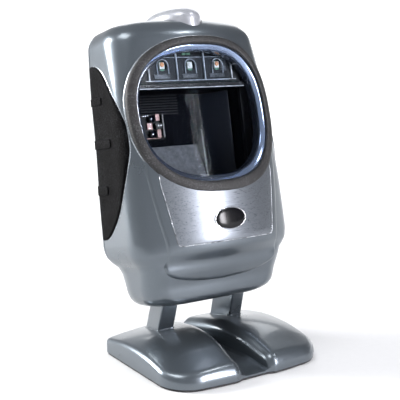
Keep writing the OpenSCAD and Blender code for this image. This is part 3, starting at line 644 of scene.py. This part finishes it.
def roof_dome(x, v):
    """Rise of the domed roof above its rounded edge."""
    edge = half_section(ROOF_TOP)
    around = np.arctan2(edge[:, 0], HEAD_MIDDLE_V - edge[:, 1])
    far = np.hypot(edge[:, 0], edge[:, 1] - HEAD_MIDDLE_V)
    reach = np.interp(np.arctan2(x, HEAD_MIDDLE_V - v), around, far)
    k = np.clip(np.hypot(x, v - HEAD_MIDDLE_V) / reach, 0, 1)
    return ROOF_RISE * (1 - k**2) ** 1.8


SEAM, SEAM_GAP = 0.35, 0.06


def before(line, v):
    """The stretch of a head outline in front of v, ending on it."""
    ahead = line[line[:, 1] < v]
    return np.vstack([ahead, [np.interp(v, line[:, 1], line[:, 0]), v]])


def behind(line, v):
    past = line[line[:, 1] > v]
    return np.vstack([[np.interp(v, line[:, 1], line[:, 0]), v], past])


def front_half(line):
    """Columns of the front housing over one half, with a close pair at the joint line."""
    return np.vstack([resample(before(line, PART_V - SEAM), 62), before(line, PART_V - SEAM_GAP)[-1:]])


def rear_half(line):
    return np.vstack([behind(line, PART_V + SEAM_GAP)[:1], resample(behind(line, PART_V + SEAM), 46)])


LEVELS = steps((-32, -28, 12), (-28, -4, 34), (-4, ROOF_EDGE, 58))
ROOF_TURNS = np.radians(np.linspace(0, 90, 14)[1:])


def shell_rows(half, inset):
    """Rows (x, v, w) over one half of the head, from the bottom edge up to the opening in the roof."""
    rows = [level(half(half_section(w, inset)), w) for w in LEVELS]
    for q in ROOF_TURNS:
        lean = min(ROOF_EDGE + ROOF_R * sin(q), ROOF_TOP)
        plan = half(half_section(lean, inset + ROOF_R * (1 - cos(q))))
        height = ROOF_EDGE + (ROOF_R - inset) * sin(q) + roof_dome(plan[:, 0], plan[:, 1])
        rows.append(np.column_stack([plan, height]))
    t = np.linspace(0, pi, 200)
    opening = half(np.stack([5 * np.sin(t), 20 - 12 * np.cos(t)], 1))
    for share in np.linspace(0, 1, 10)[1:]:
        spot = (1 - share) * plan + share * opening
        height = ROOF_EDGE + ROOF_R - inset + roof_dome(spot[:, 0], spot[:, 1])
        rows.append(np.column_stack([spot, height]))
    return np.array(rows)


def whole(rows, front):
    """Both halves of a housing from one half's rows."""
    other = rows * [-1, 1, 1]
    return np.concatenate([other[:, :0:-1], rows] if front else [rows, other[:, -2::-1]], 1)


def housing(name, half, front, replaces):
    outer, inner = (whole(shell_rows(half, inset), front) for inset in (0, WALL))
    for edge in (0, -1):
        outer[:, edge] += (inner[:, edge] - outer[:, edge]) * 0.12
    points, faces = sheet(outer, inner)
    return piece(name, points, faces, PAINT, "housing_paint", replaces=[replaces])


# Window outline: half width, half height, middle, and the power that squares it off.
BEZEL_A, BEZEL_H, BEZEL_C = 36.3, 33.5, 47.3
SQUARENESS = 2 / 2.45


def oval(t, inset):
    c, s = np.cos(t), np.sin(t)
    x = (BEZEL_A - inset + s) * np.sign(c) * np.abs(c) ** SQUARENESS
    return x, BEZEL_C + (BEZEL_H - inset) * np.sign(s) * np.abs(s) ** SQUARENESS


def bezel_foot(x):
    """Height at which the bezel's lower edge crosses a given x."""
    edge_x, edge_w = oval(np.linspace(pi, 2 * pi, 400), 0.25)
    return np.interp(x, edge_x, edge_w)


BUTTON_V, BUTTON_A, BUTTON_B = 17.9, 10.5, 18.7
SHELL_SCREWS = ((-27, 8), (27, 8), (-24, 74), (24, 74))

chest_half = curve((-16.2, 28.7), (-15, 29.1), (-12, 28.2), (-8, 28.5), (8, 31), (24, 33))
chest_foot = curve((0, -23.4), (12, -22.7), (20, -21.3), (25, -19.7), (27.6, -18), (28.9, -16.2))
chest_lift = curve((-23.4, 1.1), (-19, 1.25), (-15, 0.75), (-10, 0.7), (24, 0.7))
label_half = curve((-6.9, 24.2), (20, 28.4))
label_foot = curve((0, -6.9), (22.6, -6.9), (23.9, -6.3), (24.6, -4.9))


def panel(half, foot, lift, edge, across, sunk, thick):
    """Raised panel on the front face, from its curved foot up to the bezel, with rounded edges."""
    u = np.sin(np.linspace(-1, 1, across) * pi / 2)
    widest = half(foot(999))
    x = u * widest
    for _ in range(4):
        x = u * half(bezel_foot(x))
    top, low = bezel_foot(x), foot(np.abs(u) * widest)
    rise = steps((0, 0.12, 12), (0.12, 1, 40))
    w = low[None] + (top - low)[None] * rise[:, None]
    x = u[None] * half(w)
    to_side = half(w) - np.abs(x)
    to_foot = w - foot(np.abs(x))
    out = (lift(w) + sunk) * ramp_up(np.minimum(to_side, to_foot), edge) - sunk
    outer = np.stack([x, face_at(x, w) - out, w], 2)
    inner = np.stack([x, face_at(x, w) - out + thick, w], 2)
    return sheet(outer, inner)


def add_head_shells():
    front = housing("front_shell", front_half, True, "front_housing")
    opening = prism(np.stack(oval(full_turn(160), 2.4), 1), -30, 14)
    button_well = prism(ellipse(BUTTON_A + 0.5, BUTTON_B + 0.5, (0, BUTTON_V)), 70, 100, "w")
    cut(front, opening, button_well)
    rear = housing("rear_shell", rear_half, False, "rear_housing")
    slots = [box(-6, 6, 36, 60, w - 0.8, w + 0.8) for w in (50, 54, 58)]
    socket = box(-7.5, 7.5, 30, 60, -24.5, -12.5)
    screws = [rod(spot, 3.2, 34, 60) for spot in SHELL_SCREWS]
    cut(rear, button_well, socket, *slots, *screws)


def add_screw_wells():
    """Tubes that lead the housing screws from the rear surface down to their seats."""
    profile = [(4.2, 34.2), (4.2, 36.6), (3.15, 36.6), (3.15, 35.1), (1.3, 35.1), (1.3, 34.2)]
    piece("screw_wells", *joined(*[turned(spot, profile) for spot in SHELL_SCREWS]), PAINT, "housing_paint")


def add_panels():
    piece("chest_panel", *panel(chest_half, chest_foot, chest_lift, 1.3, 90, 0.35, 0.6),
          PAINT, "housing_paint", replaces=["chest_cover"], sharp=50)
    piece("label_plate", *panel(label_half, label_foot, lambda w: 1.0, 0.22, 70, -0.68, 0.2),
          BRUSHED, "label_metal", replaces=["label_panel"], sharp=50)
    foot = [(x, -6.9) for x in np.linspace(0, 22.4, 30)]
    corner = [(22.4 + 2.2 * sin(t), -4.7 - 2.2 * cos(t)) for t in np.linspace(0.1, 1.45, 10)]
    side = [(label_half(w), w) for w in np.linspace(-4.2, float(bezel_foot(27.4)) - 0.2, 60)]
    half = np.array(foot + corner + side)
    line = np.concatenate([half[::-1] * [-1, 1], half[1:]])
    path = np.column_stack([line[:, 0], face_at(line[:, 0], line[:, 1]) - 0.86, line[:, 1]])
    # The bead round the label is a painted highlight, light and broken.
    piece("label_edge_painted_highlight", *tube(path, 0.17, 8, closed=False), LABEL_EDGE_HIGHLIGHT, "label_metal")


RUBBER_WIDTH = 4.9


def window_line(t, inset, taper=0.0):
    """Window outline drawn in. The rubber ring is narrower along its top and sides.

    The taper thins what lies inside the rubber towards the lower left."""
    rubber = np.minimum(inset, RUBBER_WIDTH)
    narrow = 1 - 0.28 * np.clip(np.sin(t), 0, 1) ** 1.5 - 0.15 * np.abs(np.cos(t))
    thin = 1 - taper * np.clip(np.cos(t - 1.12 * pi), 0, 1) ** 0.7
    return oval(t, rubber * narrow + (inset - rubber) * thin)


def oval_sweep(profile, taper=0.0):
    """Closed ring that follows the window. Each profile row is (drawn in, behind the face).

    A depth in brackets is measured from the rounded body."""
    rings = []
    for inset, depth in profile:
        x, w = window_line(full_turn(220), inset, taper)
        v = front_surface(x, w) + depth[0] if isinstance(depth, tuple) else face_at(x, w) + depth
        rings.append(np.stack([x, v, w], 1))
    return rings_loop(rings)


def add_window():
    crown = soften([(0, -0.25), (0, -0.9), (0.9, -1.4), (3.1, -1.35), (4.4, -0.95), (4.9, 0.1), (4.9, 2.2)])
    profile = [(0.8, (0.5,)), (0.02, (0.3,)), *crown, (4.1, 2.2)]
    piece("bezel_ring", *oval_sweep(profile), RUBBER, "bezel_rubber", replaces=["window_bezel"])
    # The lip round the bezel is lighter than the housing: a painted highlight.
    lip = soften([(-0.45, 0.05), (-0.32, -0.28), (-0.02, -0.30), (0.08, 0.2)], 2)
    piece("bezel_lip", *oval_sweep([(d, (e,)) for d, e in lip] + [(0.08, (0.6,)), (-0.4, (0.6,))]),
          EDGE_HIGHLIGHT, "housing_paint", sharp=60)
    # The bevel reflects the lights, and its pale-blue tone is partly a painted reflection.
    slope = soften([(4.85, 1.6), (4.95, 0.55), (5.5, 0.8), (6.9, 2.0), (7.3, 2.9), (7.35, 3.6)], 2)
    piece("window_bevel", *oval_sweep([*slope, (5.2, 3.4)], taper=0.8), BEVEL, "window_rim")
    bowl = soften([(5.0, 2.4), (6.4, 2.7), (7.3, 3.5), (7.4, 5.0), (7.4, 7.2)])
    piece("window_frame", *oval_sweep([*bowl, (6.2, 7.2), (4.9, 4.0)]),
          RIM, "window_rim", replaces=["window_rim"])
    x, w = window_line(full_turn(120), RUBBER_WIDTH + 0.02)
    rings = []
    for shares, depth in ((np.linspace(0.02, 1, 16), 0.1), (np.linspace(1, 0.02, 16), 0.4)):
        for k in shares:
            row = BEZEL_C + (w - BEZEL_C) * k
            rings.append(np.stack([x * k, face_at(x * k, row) + depth, row], 1))
    piece("window_pane", *rings_solid(rings), PANE, "window_glass", replaces=["window_lens"], sharp=60)


# ---------- grips

grip_front = curve((-1.6, 25), (-1, 22.5), (2.1, 17.5), (9.4, 10.5), (17.1, 6.2), (27.3, 3), (35, 1.8),
                   (44.5, 2.6), (52.3, 5.5), (61.8, 11.2), (69.8, 17.5), (73, 23), (73.6, 26))
GRIP_LOW, GRIP_HIGH = -1.6, 73.6
GRIP_BARS = ((57.5, 17.5, 3.6), (39, 12.5, 4.2), (19.5, 17.5, 4.4))


def add_grip(side, name, node):
    w = steps((GRIP_LOW, 1, 12), (1, 71.5, 110), (71.5, GRIP_HIGH, 10))
    f = grip_front(w)
    share = steps((0, 0.12, 7), (0.12, 1, 33))
    back = PART_V - 0.4
    v = f[:, None] + (back - f)[:, None] * share[None]
    rows = np.broadcast_to(w[:, None], v.shape)
    slant = 1 / np.sqrt(1 + np.gradient(f, w) ** 2)
    edge = np.minimum((v - f[:, None]) * slant[:, None], (back - v) * 1.6)
    edge = np.minimum(edge, np.minimum(rows - GRIP_LOW, GRIP_HIGH - rows))
    out = -0.15 + 0.94 * ramp_up(edge, 1.1)
    outer = np.stack([side * (flank_at(v, rows) + out), v, rows], 2)
    inner = np.stack([side * (flank_at(v, rows) - 0.4), v, rows], 2)
    parts = [sheet(outer, inner)]
    parts += [rib(side, middle, start, back - 0.3, tall) for middle, start, tall in GRIP_BARS]
    piece(name, *joined(*parts), GRIP_RUBBER, "bezel_rubber", replaces=[node], sharp=40)


def rib(side, middle, start, end, tall):
    """Raised bar across a grip, rounded at its front end and square at the joint line."""
    across = steps((0, 0.14, 6), (0.14, 0.97, 15), (0.97, 1, 1))
    up = steps((-1, -0.72, 5), (-0.72, 0.72, 8), (0.72, 1, 5))
    v = start + (end - start) * across
    squeeze = ramp_up(v - start, tall / 2)
    w = middle + up[:, None] * tall / 2 * (0.35 + 0.65 * squeeze[None]) + 0.05 * (v[None] - start)
    v = np.broadcast_to(v[None], w.shape)
    edge = np.minimum((1 - np.abs(up))[:, None] * tall / 2, (v - start) * 0.8)
    edge = np.minimum(edge, (end - v) + 0.2)
    out = 0.5 + 0.8 * ramp_up(edge, 0.55)
    outer = np.stack([side * (flank_at(v, w) + out), v, w], 2)
    inner = np.stack([side * (flank_at(v, w) + 0.3), v, w], 2)
    return sheet(outer, inner)


def add_grip_lips():
    """Thin edge of the pocket that each grip lies in, lighter than the housing: a painted highlight."""
    w = np.linspace(GRIP_LOW + 0.3, GRIP_HIGH - 0.2, 160)
    v = grip_front(w) - 0.25
    for side, name in ((-1, "grip_lip_left"), (1, "grip_lip_right")):
        path = np.column_stack([side * (flank_at(v, w) - 0.02), v, w])
        piece(name, *tube(path, 0.24, 8, closed=False), EDGE_HIGHLIGHT, "housing_paint")


# ---------- badge and button


def badge_rings(a, b, profile):
    """Ovals at (share of the size, depth) pairs on the badge's place."""
    return [level(ellipse(a * k, b * k, (0, 2.3), 96), d - 10.95)[:, AXES["v"]] for k, d in profile]


def add_badge():
    """Plain dark dome in a bright rim."""
    rim = soften([(0.95, 0.5), (0.95, -0.5), (0.98, -0.7), (1.03, -0.5), (1.04, 0.5)], 2)
    piece("badge_ring", *rings_loop(badge_rings(7.7, 4.7, rim)), CHROME, "badge_chrome",
          replaces=["badge_rim"])
    face = [(1.0, 0.3), *dome(1, -0.35, 0.95, 16, 1.52)]
    piece("badge_face", *rings_solid(badge_rings(7.25, 4.4, face)), BADGE, "badge_black",
          replaces=["badge_dome"])


def add_button():
    """Domed cap, hollow underneath."""
    under = [(0.05, 94.5), (0.5, 93.6), (0.86, 89.5)]
    skirt = [(0.9, 85.6), (1, 85.6), (1, 87.2)]
    swell, rise, turns = 0.78, 7.39, np.radians(np.linspace(0, 88.5, 26))
    crown = [(cos(q) ** swell, 89 + rise * sin(q) ** swell) for q in turns]
    profile = under + skirt + crown
    rings = [level(ellipse(BUTTON_A * k, BUTTON_B * k, (0, BUTTON_V), 96), w) for k, w in profile]
    piece("button_dome", *rings_solid(rings), SILVER, "button_silver", body="button", replaces=["button_cap"])


def add_spring():
    """Coil spring between the roof and the button, closed at both ends."""
    low, high, coils, radius = 77.1, 84.4, 5.5, 3.65
    t = np.linspace(0, 1, 200)
    lift = low + 0.45 + (high - low - 0.9) * (3 * t**2 - 2 * t**3)
    turn = 2 * pi * coils * t
    path = np.column_stack([radius * np.cos(turn), BUTTON_V + radius * np.sin(turn), lift])
    spring = piece("button_coil", *tube(path, 0.35, 8, closed=False), STEEL, "screw_steel",
                   replaces=["button_spring"])
    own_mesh(spring)


# ---------- behind the window

LED_X = (-14.2, 0, 14.2)
LED_W = 69.9


def add_light_tray():
    """Smoked tray with three cells, their bright ribs and horseshoe cups."""
    side = [(26, 62.6), (26, 66), (21.8, 72.4), (17, 77.4)]
    outline = [(-26, 62.6)] + side + [(-x, w) for x, w in side[:0:-1]]
    tray = piece("light_tray", *prism(outline, 6.3, 7.3), TRAY, "tray_grey", replaces=["led_tray"])
    cut(tray, *[rod((x, LED_W), 2.2, 5, 9) for x in LED_X])
    bars = [box(x - 0.28, x + 0.28, 5.35, 6.35, 63.3, 77.0) for x in (-7.1, 7.1)]
    bars += [box(x - 0.3, x + 0.3, 5.35, 6.35, 63.3, 71.0) for x in (-21.4, 21.4)]
    bars += [box(-21.6, 21.6, 5.6, 6.35, 73.3, 73.6), box(-23.4, 23.4, 5.35, 6.35, 63.2, 63.6)]
    bevel(piece("tray_ribs", *joined(*bars), TRAY_RIB, "tray_grey"), 0.15)
    slabs = [box(x - 4.6, x + 3.4, 5.8, 6.35, 64.3, 66.3) for x in LED_X]
    slabs.append(box(LED_X[2] + 1.9, LED_X[2] + 4.9, 6.0, 6.35, 67.3, 72.6))
    bevel(piece("tray_slabs", *joined(*slabs), SMOKE, "tray_grey"), 0.2)
    cups, cup_r, cup_v, cup_foot = [], 2.75, 5.85, LED_W - 3.6
    turn = np.linspace(0, pi, 30)
    for x in LED_X:
        arc = [(x + cup_r * cos(t), cup_v, LED_W + cup_r * sin(t)) for t in turn]
        line = [(arc[0][0], cup_v, cup_foot), *arc, (arc[-1][0], cup_v, cup_foot)]
        cups.append(tube(line, 0.27, 8, closed=False))
    piece("light_cups", *joined(*cups), TRAY_RIB, "tray_grey")


def add_lights():
    """Pale light packages on small green pads: orange domes on the outer two and a clear one between."""
    packages = [box(x - 1.25, x + 1.25, 6.15, 7.35, LED_W - 1.2, LED_W + 1.6) for x in LED_X]
    pads = [box(x - 1.2, x + 1.2, 6.5, 7.35, LED_W - 2.1, LED_W - 1.25) for x in LED_X]
    pads += [box(x - 1.0, x + 1.0, 5.9, 6.5, 74.5, 76.1) for x in (-2.7, -0.4)]
    domes = [turned((x, LED_W + 0.6), dome(1.05, 6.2, 0.6, 9)) for x in (LED_X[0], LED_X[2])]
    bevel(piece("light_packages", *joined(*packages), LED_BODY, "led_white", replaces=["led_emitters"]), 0.2)
    piece("light_domes", *joined(*domes), PHOSPHOR, "led_white")
    piece("light_dome_clear", *turned((0, LED_W + 0.2), dome(0.95, 6.18, 0.35, 9)), LED_BODY, "led_white")
    bevel(piece("light_pads", *joined(*pads), PALE_GREEN, "board_green"), 0.08)


def add_chamber():
    """Dark box behind the window with its ribbed back wall and front bar."""
    shell = piece("chamber", *box(-28.2, 28.2, 10.9, 31, 19.8, 61.8), CHAMBER, "black_plastic",
                  replaces=["light_chamber"])
    cut(shell, box(-27, 27, 10, 29.8, 21, 60.6), box(-16.9, -3.7, 20, 40, 40.1, 52.3))
    ribs = [box(-14, 6, 29.3, 29.9, w - 0.3, w + 0.3) for w in np.arange(52, 60.5, 1.2)]
    bevel(piece("chamber_ribs", *joined(*ribs), BLACK, "black_plastic"), 0.15)
    bevel(piece("front_bar", *box(-27.4, 27.4, 5.4, 10.8, 60.5, 62.3), GLOSS_BLACK, "black_plastic"), 0.35, 3)
    bevel(piece("front_bar_edge", *box(-27.2, 27.2, 5.2, 6.0, 59.95, 60.4), TRAY_RIB, "tray_grey"), 0.15)


def add_ramp():
    """Grey slope below the camera, with the fin at its end and a bright strip at its foot."""
    slope = prism([(11.2, 21.1), (12.4, 21.1), (16.6, 35.2), (15.8, 36.2)], -26.8, 5.6, "x")
    bevel(piece("ramp", *slope, RAMP, "ramp_grey", replaces=["chamber_ramp"]), 0.25)
    fin = prism([(11.2, 21.1), (13.4, 21.1), (16.8, 36.2), (12.6, 42.4), (12.2, 41.6)], 5.7, 6.7, "x")
    bevel(piece("ramp_fin", *fin, RAMP, "ramp_grey"), 0.2)
    bevel(piece("ramp_foot", *box(-8, 6.4, 10.4, 11.3, 21.1, 22.0), TRAY_RIB, "tray_grey"), 0.15)


def add_camera_unit():
    """Camera in its dark well, with plated clamps, two barrels and the small contacts around them."""
    bevel(piece("camera_back", *box(-16.8, -3.8, 28.4, 33, 40.2, 52.2), BLACK, "black_plastic"), 0.2)
    clamps = [box(-8.6, -6.4, 26.2, 28.5, 48.6, 51.8), box(-8.4, -6.3, 26.2, 28.5, 41.0, 44.8),
              box(-15.8, -6.4, 26.8, 28.5, 40.6, 41.1), box(-12.6, -9.8, 27.4, 28.5, 44.9, 48.0),
              box(-16.2, -15.5, 26.6, 28.5, 41.0, 51.4)]
    bevel(piece("camera_frame", *joined(*clamps), COPPER, "camera_copper", replaces=["camera_module"]), 0.2)
    bevel(piece("camera_edge", *box(-5.2, -4.3, 26.2, 28.5, 41.0, 51.6), SMOKE, "black_plastic"), 0.2)
    barrels, glass, dots = [], [], []
    for spot, r in (((-10.3, 49.7), 1.25), ((-10.2, 42.8), 1.3)):
        profile = [(r + 0.4, 28.5), (r + 0.4, 26.3), (r, 26.1), (r * 0.75, 27), (r * 0.7, 28.5)]
        barrels.append(turned(spot, profile, sides=40))
        glass.append(turned(spot, [(0.9, 27.6), *dome(0.9, 27.4, 0.4, 7)]))
    barrels.append(box(-8.7, -5.8, 26.1, 28.5, 45.1, 47.7))
    piece("camera_barrels", *joined(*barrels), GLOSS_BLACK, "black_plastic")
    piece("camera_glass", *joined(*glass), LENS, "camera_glass", replaces=["camera_lenses"])
    spots = [(-10.3, 49.7, 26.9), (-10.2, 42.8, 26.9), (-7.5, 46.5, 26.0), (-6.2, 46.5, 26.0)]
    spots += [(x, 51.2, 27.9) for x in (-15, -13.8, -12.6, -11.4)] + [(-11, 47.3, 27.2), (-11.6, 45.6, 27.2)]
    for x, w, at in spots:
        profile = [(0.32, at + 0.5), (0.32, at), (0.18, at - 0.15), (0.02, at - 0.18)]
        dots.append(turned((x, w), profile, sides=16))
    piece("camera_contacts", *joined(*dots), CHROME, "screw_steel")


def add_inner_mirror():
    """Dark mirror that folds the view sideways, in its holder."""
    corner = Vector((13.5, 27.4, 21.4)) * MM
    place = HEAD @ Matrix.Translation(corner) @ Matrix.Rotation(radians(-52), 4, "Z")
    plate = box(0.3, 16.7, 0.05, 1.1, 0.3, 38.3)
    bevel(piece("mirror_plate", *plate, MIRROR, "fold_mirror", replaces=["fold_mirror"], place=place), 0.3)


# ---------- stand

BASE_HALF, BASE_FRONT, BASE_BACK, PAD_T = 39, 31, 31.5, 1
# Front corner's radius and middle, and the back corner's radius.
CORNER, CORNER_Y, BACK_CORNER = 14, -15.5, 3.5
# Stations (y, value): height of the lobe's rim, rise of its dome, half width of the valley, edge and floor.
side_top = curve((-32, 4.2), (-28, 4.9), (-20, 6.3), (-15, 7.4), (-10, 8.3), (-5, 9), (0, 9.4), (7, 9.6),
                 (14, 9.3), (20, 8.6), (26, 7.6), (33, 6.4))
lobe_dome = curve((-32, 2.6), (-26, 3.6), (-20, 4.4), (-14, 4.9), (-8, 5), (0, 4.8), (8, 4.2), (16, 3.4),
                  (33, 2.2))
inner_x = curve((-32, 6.8), (-22, 6.2), (-14, 5.4), (-4, 4.4), (8, 3.4), (20, 2.4), (33, 1.6))
edge_round = curve((-30, 4), (-18, 2))
valley = curve((-32, 1.7), (-24, 2.2), (-15, 3.7), (32, 3.9))


def base_front(x):
    """Front edge of the base: the two lobes stand a little further out than the valley between them."""
    lobe = 1.5 * (x / 25) ** 2 - BASE_FRONT
    t = np.clip((x - 6.2) / 4.2, 0, 1)
    edge = (1.4 - BASE_FRONT) + (lobe - 1.4 + BASE_FRONT) * t * t * (3 - 2 * t)
    corner = CORNER_Y - np.sqrt(np.maximum(CORNER**2 - (x - BASE_HALF + CORNER) ** 2, 0))
    return np.where(x > BASE_HALF - CORNER, corner, edge)


def base_back(x):
    past = np.maximum(BACK_CORNER**2 - (x - BASE_HALF + BACK_CORNER) ** 2, 0)
    return np.where(x > BASE_HALF - BACK_CORNER, BASE_BACK - BACK_CORNER + np.sqrt(past), BASE_BACK)


def drop(radius, distance):
    """How far a rounded edge lies below its top at a distance from the edge."""
    inside = np.maximum(radius**2 - (radius - np.clip(distance, 0, radius)) ** 2, 0)
    return radius - np.sqrt(inside)


def base_height(x, y):
    """Top of the base: a domed lobe with rounded edges on each side of a sunken valley."""
    top = side_top(y) + lobe_dome(y) * (1 - ((x - 12) / 27) ** 2)
    gap = np.minimum(np.minimum(BASE_HALF - x, y - base_front(x)), base_back(x) - y)
    round_corner = CORNER - np.hypot(x - BASE_HALF + CORNER, y - CORNER_Y)
    gap = np.where((x > BASE_HALF - CORNER) & (y < CORNER_Y), round_corner, gap)
    inner = np.minimum(5, (top - PAD_T) * 0.6)
    lobe = top - drop(np.minimum(edge_round(y), top - PAD_T - 1), gap) - drop(inner, x - inner_x(y) - 0.1)
    floor = valley(y) + 0.8 * np.clip((x / inner_x(y) - 0.6) / 0.4, 0, 1) ** 2
    return np.where(x < inner_x(y) + 0.05, floor, np.maximum(np.maximum(lobe, floor), PAD_T + 0.8))


def add_base():
    """Moulded base, gridded finely along its edges and along the valley's sides."""
    fine = np.array([0, 0.004, 0.010, 0.018, 0.028, 0.042, 0.06, 0.085, 0.12, 0.16, 0.21, 0.28, 0.36, 0.45,
                     0.55, 0.66, 0.78, 0.9])
    off = np.array([0.0, 0.1, 0.16, 0.3, 0.5, 0.8, 1.2, 1.7, 2.3, 3.0, 3.8, 4.7, 5.6, 6.8, 8.2])
    valley_share = np.array([0, 0.25, 0.5, 0.75, 0.9])
    outer_x = steps((17.2, 35.4, 16), (35.4, 38, 6), (38, 38.8, 5), (38.8, BASE_HALF, 2))
    middle_y = np.arange(-9, 11.1, 1.25)
    lines = [lambda x, k=k: base_front(x) * (1 - k) + middle_y[0] * k for k in fine]
    lines += [lambda x, y=y: np.full(np.shape(x), y) for y in middle_y]
    lines += [lambda x, k=k: 11 + (base_back(x) - 11) * k for k in 1 - fine[::-1]]
    rows = []
    for y_of in lines:
        guess = y_of(np.array([5.0]))[0]
        near_y = y_of(np.concatenate([valley_share * inner_x(guess), inner_x(guess) + off]))
        near = np.concatenate([valley_share * inner_x(near_y[:5]), inner_x(near_y[5:]) + off])
        x = np.concatenate([near, outer_x])
        y = np.concatenate([near_y, y_of(outer_x)])
        rows.append(np.column_stack([x, y, base_height(x, y)]))
    half = np.array(rows)
    top = np.concatenate([(half * [-1, 1, 1])[:, :0:-1], half], 1)
    low = top.copy()
    low[..., 2] = PAD_T + 0.15
    piece("base_body", *sheet(top, low), PAINT, "housing_paint", "stand", replaces=["base_shell"], sharp=42)


def base_outline(inset):
    """Outline of the base seen from above."""
    quarter = pi / 2
    front_x = BASE_HALF - CORNER + CORNER * np.sin(np.linspace(0.02, quarter, 20))
    front_x = np.concatenate([np.linspace(0, 25, 30), front_x])
    back_x = BASE_HALF - BACK_CORNER + BACK_CORNER * np.cos(np.linspace(0, quarter, 10))
    back_x = np.concatenate([back_x, np.linspace(33, 0, 12)])
    edges = ((front_x, base_front), (back_x, base_back))
    half = np.concatenate([np.column_stack([x, edge(np.minimum(x, BASE_HALF - 1e-6))]) for x, edge in edges])
    loop = np.concatenate([half, (half * [-1, 1])[-2:0:-1]])
    middle = np.array([0, 0.5])
    return middle + (loop - middle) * (1 - inset / 34)


def add_pad():
    """Soft pad that the base stands on."""
    top = PAD_T + 0.1
    profile = soften([(1.2, 0.0), (0.6, 0.0), (0.35, 0.4), (0.35, 0.8), (0.6, top), (1.2, top)], 2)
    rings = [level(base_outline(inset), z) for inset, z in profile]
    piece("foot_pad", *rings_solid(rings), PAD, "pad_rubber", "stand", replaces=["base_pad"])


# A leg's place at the pivot, its lean, cant and turn in degrees, and its section.
LEG_X, LEG_LEAN, LEG_CANT, LEG_TURN = 17.06, 15.5, 2, 9.5
LEG_W, LEG_D, LEG_ROUND = 7.4, 13, 0.9


def leg_place(side):
    place = Matrix.Translation((side * LEG_X, PIVOT.y, PIVOT.z))
    for angle, axis in ((LEG_LEAN, "X"), (-side * LEG_CANT, "Y"), (side * LEG_TURN, "Z")):
        place = place @ Matrix.Rotation(radians(angle), 4, axis)
    return place


def blade_outline(grow):
    """Rounded rectangle of a leg's section."""
    a, b, r = LEG_W / 2 + grow, LEG_D / 2 + grow, LEG_ROUND + grow
    points = []
    for start, (side_x, side_y) in zip((0, 90, 180, 270), ((1, 1), (-1, 1), (-1, -1), (1, -1))):
        for t in np.radians(np.linspace(start, start + 90, 9)):
            points.append((side_x * (a - r) + r * cos(t), side_y * (b - r) + r * sin(t)))
    dense = []
    for (x0, y0), (x1, y1) in zip(points, points[1:] + points[:1]):
        count = 6 if hypot(x1 - x0, y1 - y0) > 1 else 1
        dense += [(x0 + (x1 - x0) * k / count, y0 + (y1 - y0) * k / count) for k in range(count)]
    return dense


def add_leg(side, name, node):
    """Leaning blade with a bead of paint at its foot and a round hub for the hinge shaft."""
    place = leg_place(side)
    down = place.to_3x3() @ Vector((0, 0, -1))
    rings, bead = [], []
    for depth in np.linspace(2, 33.5, 22):
        rings.append([place @ Vector((x, y, -depth)) for x, y in blade_outline(0)])
    for x, y in blade_outline(0.12):
        start = place @ Vector((x, y, 0))
        low, high = 20.0, 34.0
        for _ in range(24):
            reach = (low + high) / 2
            spot = start + down * reach
            above = spot.z > base_height(np.array([abs(spot.x)]), np.array([spot.y]))[0]
            low, high = (reach, high) if above else (low, reach)
        bead.append(start + down * low)
    blade = piece(name, *rings_solid(rings), PAINT, "housing_paint", "stand", replaces=[node])
    x = side * LEG_X
    hub = [(6.6, x - 3.7), (7, x - 3.3), (7, x + 3.3), (6.6, x + 3.7)]
    cut(blade, turned((PIVOT.y, PIVOT.z), hub, "x", 64), operation="UNION", body="stand")
    cut(blade, rod((PIVOT.y, PIVOT.z), 2.5, x - 8, x + 8, "x", 48), body="stand")
    piece(name + "_bead", *tube(bead, 0.34, 8), PAINT, "housing_paint", "stand")


add_head_shells()
add_screw_wells()
add_panels()
add_window()
add_grip(-1, "grip_pad_left", "grip_left")
add_grip(1, "grip_pad_right", "grip_right")
add_grip_lips()
add_badge()
add_button()
add_spring()
add_light_tray()
add_lights()
add_chamber()
add_ramp()
add_camera_unit()
add_inner_mirror()
add_base()
add_pad()
add_leg(-1, "leg_blade_left", "leg_left")
add_leg(1, "leg_blade_right", "leg_right")
